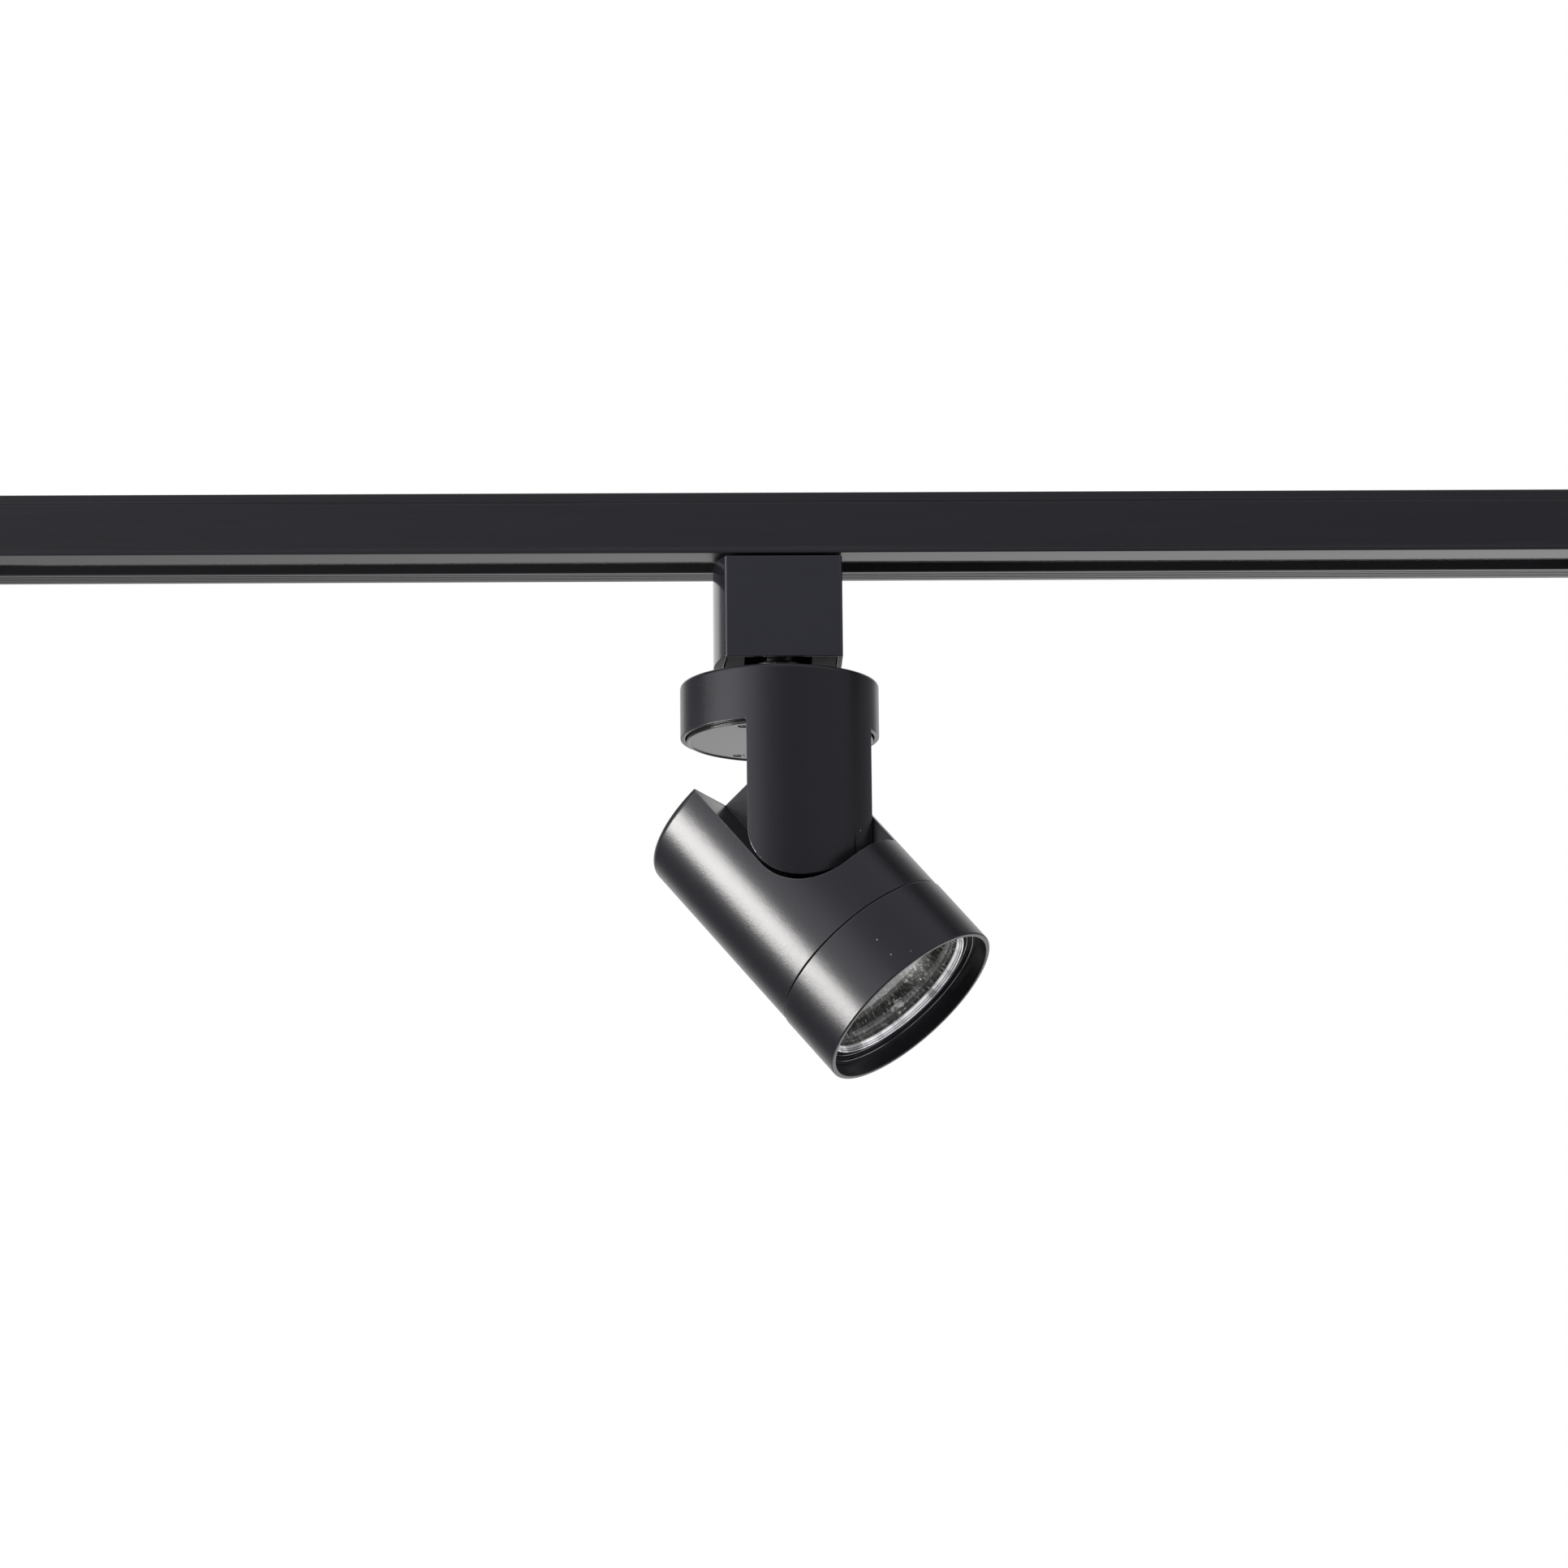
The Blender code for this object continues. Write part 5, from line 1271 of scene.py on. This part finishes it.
# ---------------------------------------------------------------- floor
def floor_material():
    """Pale and faintly cloudy; clear from underneath, so a low view isn't blocked."""
    made, graph, shader = new_material("pale_floor")
    cloud = graph.noise(graph.stretched(), scale=1.4, detail=3.0)
    graph.feed(shader, {
        "Emission Color": (1, 1, 1, 1),
        "Emission Strength": 0.42,
        "Base Color": graph.ramp(cloud, [(0.3, (0.80, 0.795, 0.765)), (0.7, (0.84, 0.835, 0.805))]),
        "Roughness": 0.9,
        "Specular IOR Level": 0.1,
    })
    under = graph.node("NewGeometry").outputs["Backfacing"]
    through = graph.node("BsdfTransparent").outputs[0]
    either = graph.node("MixShader", {0: under, 1: shader.outputs[0], 2: through})
    graph.feed(graph.nodes["Material Output"], {"Surface": either.outputs[0]})
    return made


FLOOR_Z, FLOOR_SIZE, FLOOR_STEPS = -0.95, 14.0, 24
draft = bmesh.new()
ticks = [(i / FLOOR_STEPS - 0.5) * FLOOR_SIZE for i in range(FLOOR_STEPS + 1)]
grid = [[draft.verts.new((x, y, FLOOR_Z)) for y in ticks] for x in ticks]
for i in range(FLOOR_STEPS):
    for j in range(FLOOR_STEPS):
        draft.faces.new((grid[i][j], grid[i + 1][j], grid[i + 1][j + 1], grid[i][j + 1]))
mesh = bpy.data.meshes.new("studio_floor")
draft.to_mesh(mesh)
draft.free()
keep_local(mesh)
floor = bpy.data.objects.new("studio_floor", mesh)
bpy.context.scene.collection.objects.link(floor)
floor.data.materials.append(floor_material())
floor.visible_glossy = False
floor.visible_diffuse = False
floor.visible_shadow = False
floor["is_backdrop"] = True

# ---------------------------------------------------------------- studio world
# The camera sees plain white; the product is lit by a room, white behind and dim in front.
scene = bpy.context.scene
world = bpy.data.worlds.new("studio")
scene.world = world
world.use_nodes = True
graph = Graph(world.node_tree)
calc = graph.calc
for old in list(graph.nodes):
    graph.nodes.remove(old)
output = graph.node("OutputWorld")
direction = graph.node("TexCoord").outputs["Generated"]
split = graph.node("SeparateXYZ", {0: direction}).outputs
X, Y, Z = split["X"], split["Y"], split["Z"]


def band(value, start, gain, offset_first=True):
    """(value - start) * gain, held between 0 and 1."""
    return calc("MULTIPLY", calc("SUBTRACT", value, start), gain, clamp=True)


def without(value):
    """1 - value, held between 0 and 1."""
    return calc("SUBTRACT", 1.0, value, clamp=True)


# Along the level part of a direction: 0 is the camera's side, 1 is the backdrop.
level = calc("SQRT", calc("ADD", calc("POWER", X, 2.0), calc("POWER", Y, 2.0)))
ahead = calc("DIVIDE", Y, calc("MAXIMUM", level, 0.02))
span = calc("MULTIPLY_ADD", ahead, 0.5, 0.5)
room_light = graph.ramp(span, [
    (0.0, (0.205, 0.208, 0.240)), (0.30, (0.215, 0.217, 0.248)), (0.46, (0.17, 0.17, 0.19)),
    (0.53, (0.070, 0.070, 0.075)), (0.72, (0.085, 0.085, 0.090)), (0.85, (0.15, 0.15, 0.16)),
    (0.90, (0.26, 0.26, 0.27)), (0.935, 1.0),
])
# The front grows lighter overhead.
front = without(band(span, 0.45, 6.0))
overhead = calc("MULTIPLY", front, band(Z, 0.12, 1.6))
room_light = graph.mix(overhead, room_light, (0.36, 0.36, 0.39, 1), blend="ADD")
# A soft glow from the left.
glow_from = Vector((-0.80, -0.56, 0.24)).normalized()
toward = graph.vector_calc("DOT_PRODUCT", direction, glow_from)
glow = calc("POWER", band(toward, 0.76, 4.2), 1.4)
room_light = graph.mix(glow, room_light, (0.95, 0.95, 1.00, 1), blend="ADD")
# The front is a little lighter on its left.
leftward = calc("ADD", calc("MULTIPLY", X, -1.2), 0.10, clamp=True)
front_left = calc("MULTIPLY", leftward, front)
room_light = graph.mix(front_left, room_light, (0.38, 0.38, 0.41, 1), blend="ADD")
# A weaker glow at the right, kept off the backdrop.
right_side = calc("MULTIPLY", band(X, 0.22, 1.8), without(band(span, 0.86, 14.0)))
room_light = graph.mix(right_side, room_light, (0.15, 0.15, 0.165, 1), blend="ADD")
# The front grows darker towards the floor.
low_front = calc("MULTIPLY", front, band(-0.25, Z, 3.0))
room_light = graph.mix(low_front, room_light, (0.40, 0.40, 0.42, 1), blend="MULTIPLY")
# Below the horizon the room is dimmer on the left and brighter on the right.
slope = calc("ADD", 0.90, calc("MULTIPLY", X, 3.0))
slope = calc("MINIMUM", calc("MAXIMUM", slope, 0.40), 1.45)
below_horizon = band(-0.05, Z, 9.0)
shade = calc("ADD", 1.0, calc("MULTIPLY", below_horizon, calc("SUBTRACT", slope, 1.0)))
graded = graph.node("VectorMath", {0: room_light, "Scale": shade}, operation="SCALE")
seen = graph.node("Background", {"Color": (1, 1, 1, 1), "Strength": 1.0})
lit = graph.node("Background", {"Color": graded.outputs["Vector"], "Strength": 1.0})
camera_ray = graph.node("LightPath").outputs["Is Camera Ray"]
pick = graph.node("MixShader", {0: camera_ray, 1: lit.outputs[0], 2: seen.outputs[0]})
graph.feed(output, {"Surface": pick.outputs[0]})

# ---------------------------------------------------------------- softbox, from the left
aim = Vector((0.0, 0.0, -0.10))
softbox_from = aim + Vector((-0.951, -0.232, -0.20)) * 1.4
softbox_data = bpy.data.lights.new("left_softbox", "AREA")
softbox_data.shape = "RECTANGLE"
softbox_data.size = 0.74
softbox_data.size_y = 0.40
softbox_data.energy = 25.0
softbox_data.color = (1.0, 0.98, 0.955)
softbox_data.spread = math.radians(180)
softbox = bpy.data.objects.new("left_softbox", softbox_data)
softbox.location = softbox_from
softbox.rotation_mode = "QUATERNION"
softbox.rotation_quaternion = (aim - softbox_from).to_track_quat("-Z", "Y")
scene.collection.objects.link(softbox)
softbox.visible_camera = False

# ---------------------------------------------------------------- camera, a long lens from below
camera_data = bpy.data.cameras.new("camera")
camera_data.sensor_fit = "HORIZONTAL"
camera_data.sensor_width = 36.0
camera_data.lens = 123.1192547
camera_data.clip_start = 0.05
camera_data.clip_end = 60.0
camera = bpy.data.objects.new("camera", camera_data)
yaw, pitch, roll = math.radians(1.149), math.radians(12.233), math.radians(-0.531)
forward = Vector((
    math.sin(yaw) * math.cos(pitch), math.cos(yaw) * math.cos(pitch), math.sin(pitch),
))
level_right = forward.cross(UP).normalized()
level_up = level_right.cross(forward)
right = math.cos(roll) * level_right + math.sin(roll) * level_up
camera_place = Vector((-0.0305, -1.5779, -0.4284))
camera.matrix_world = matrix_of(camera_place, right, right.cross(forward), -forward)
scene.collection.objects.link(camera)
scene.camera = camera

scene.view_settings.view_transform = "Standard"
scene.view_settings.look = "None"
scene.view_settings.exposure = 0.0

low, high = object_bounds()
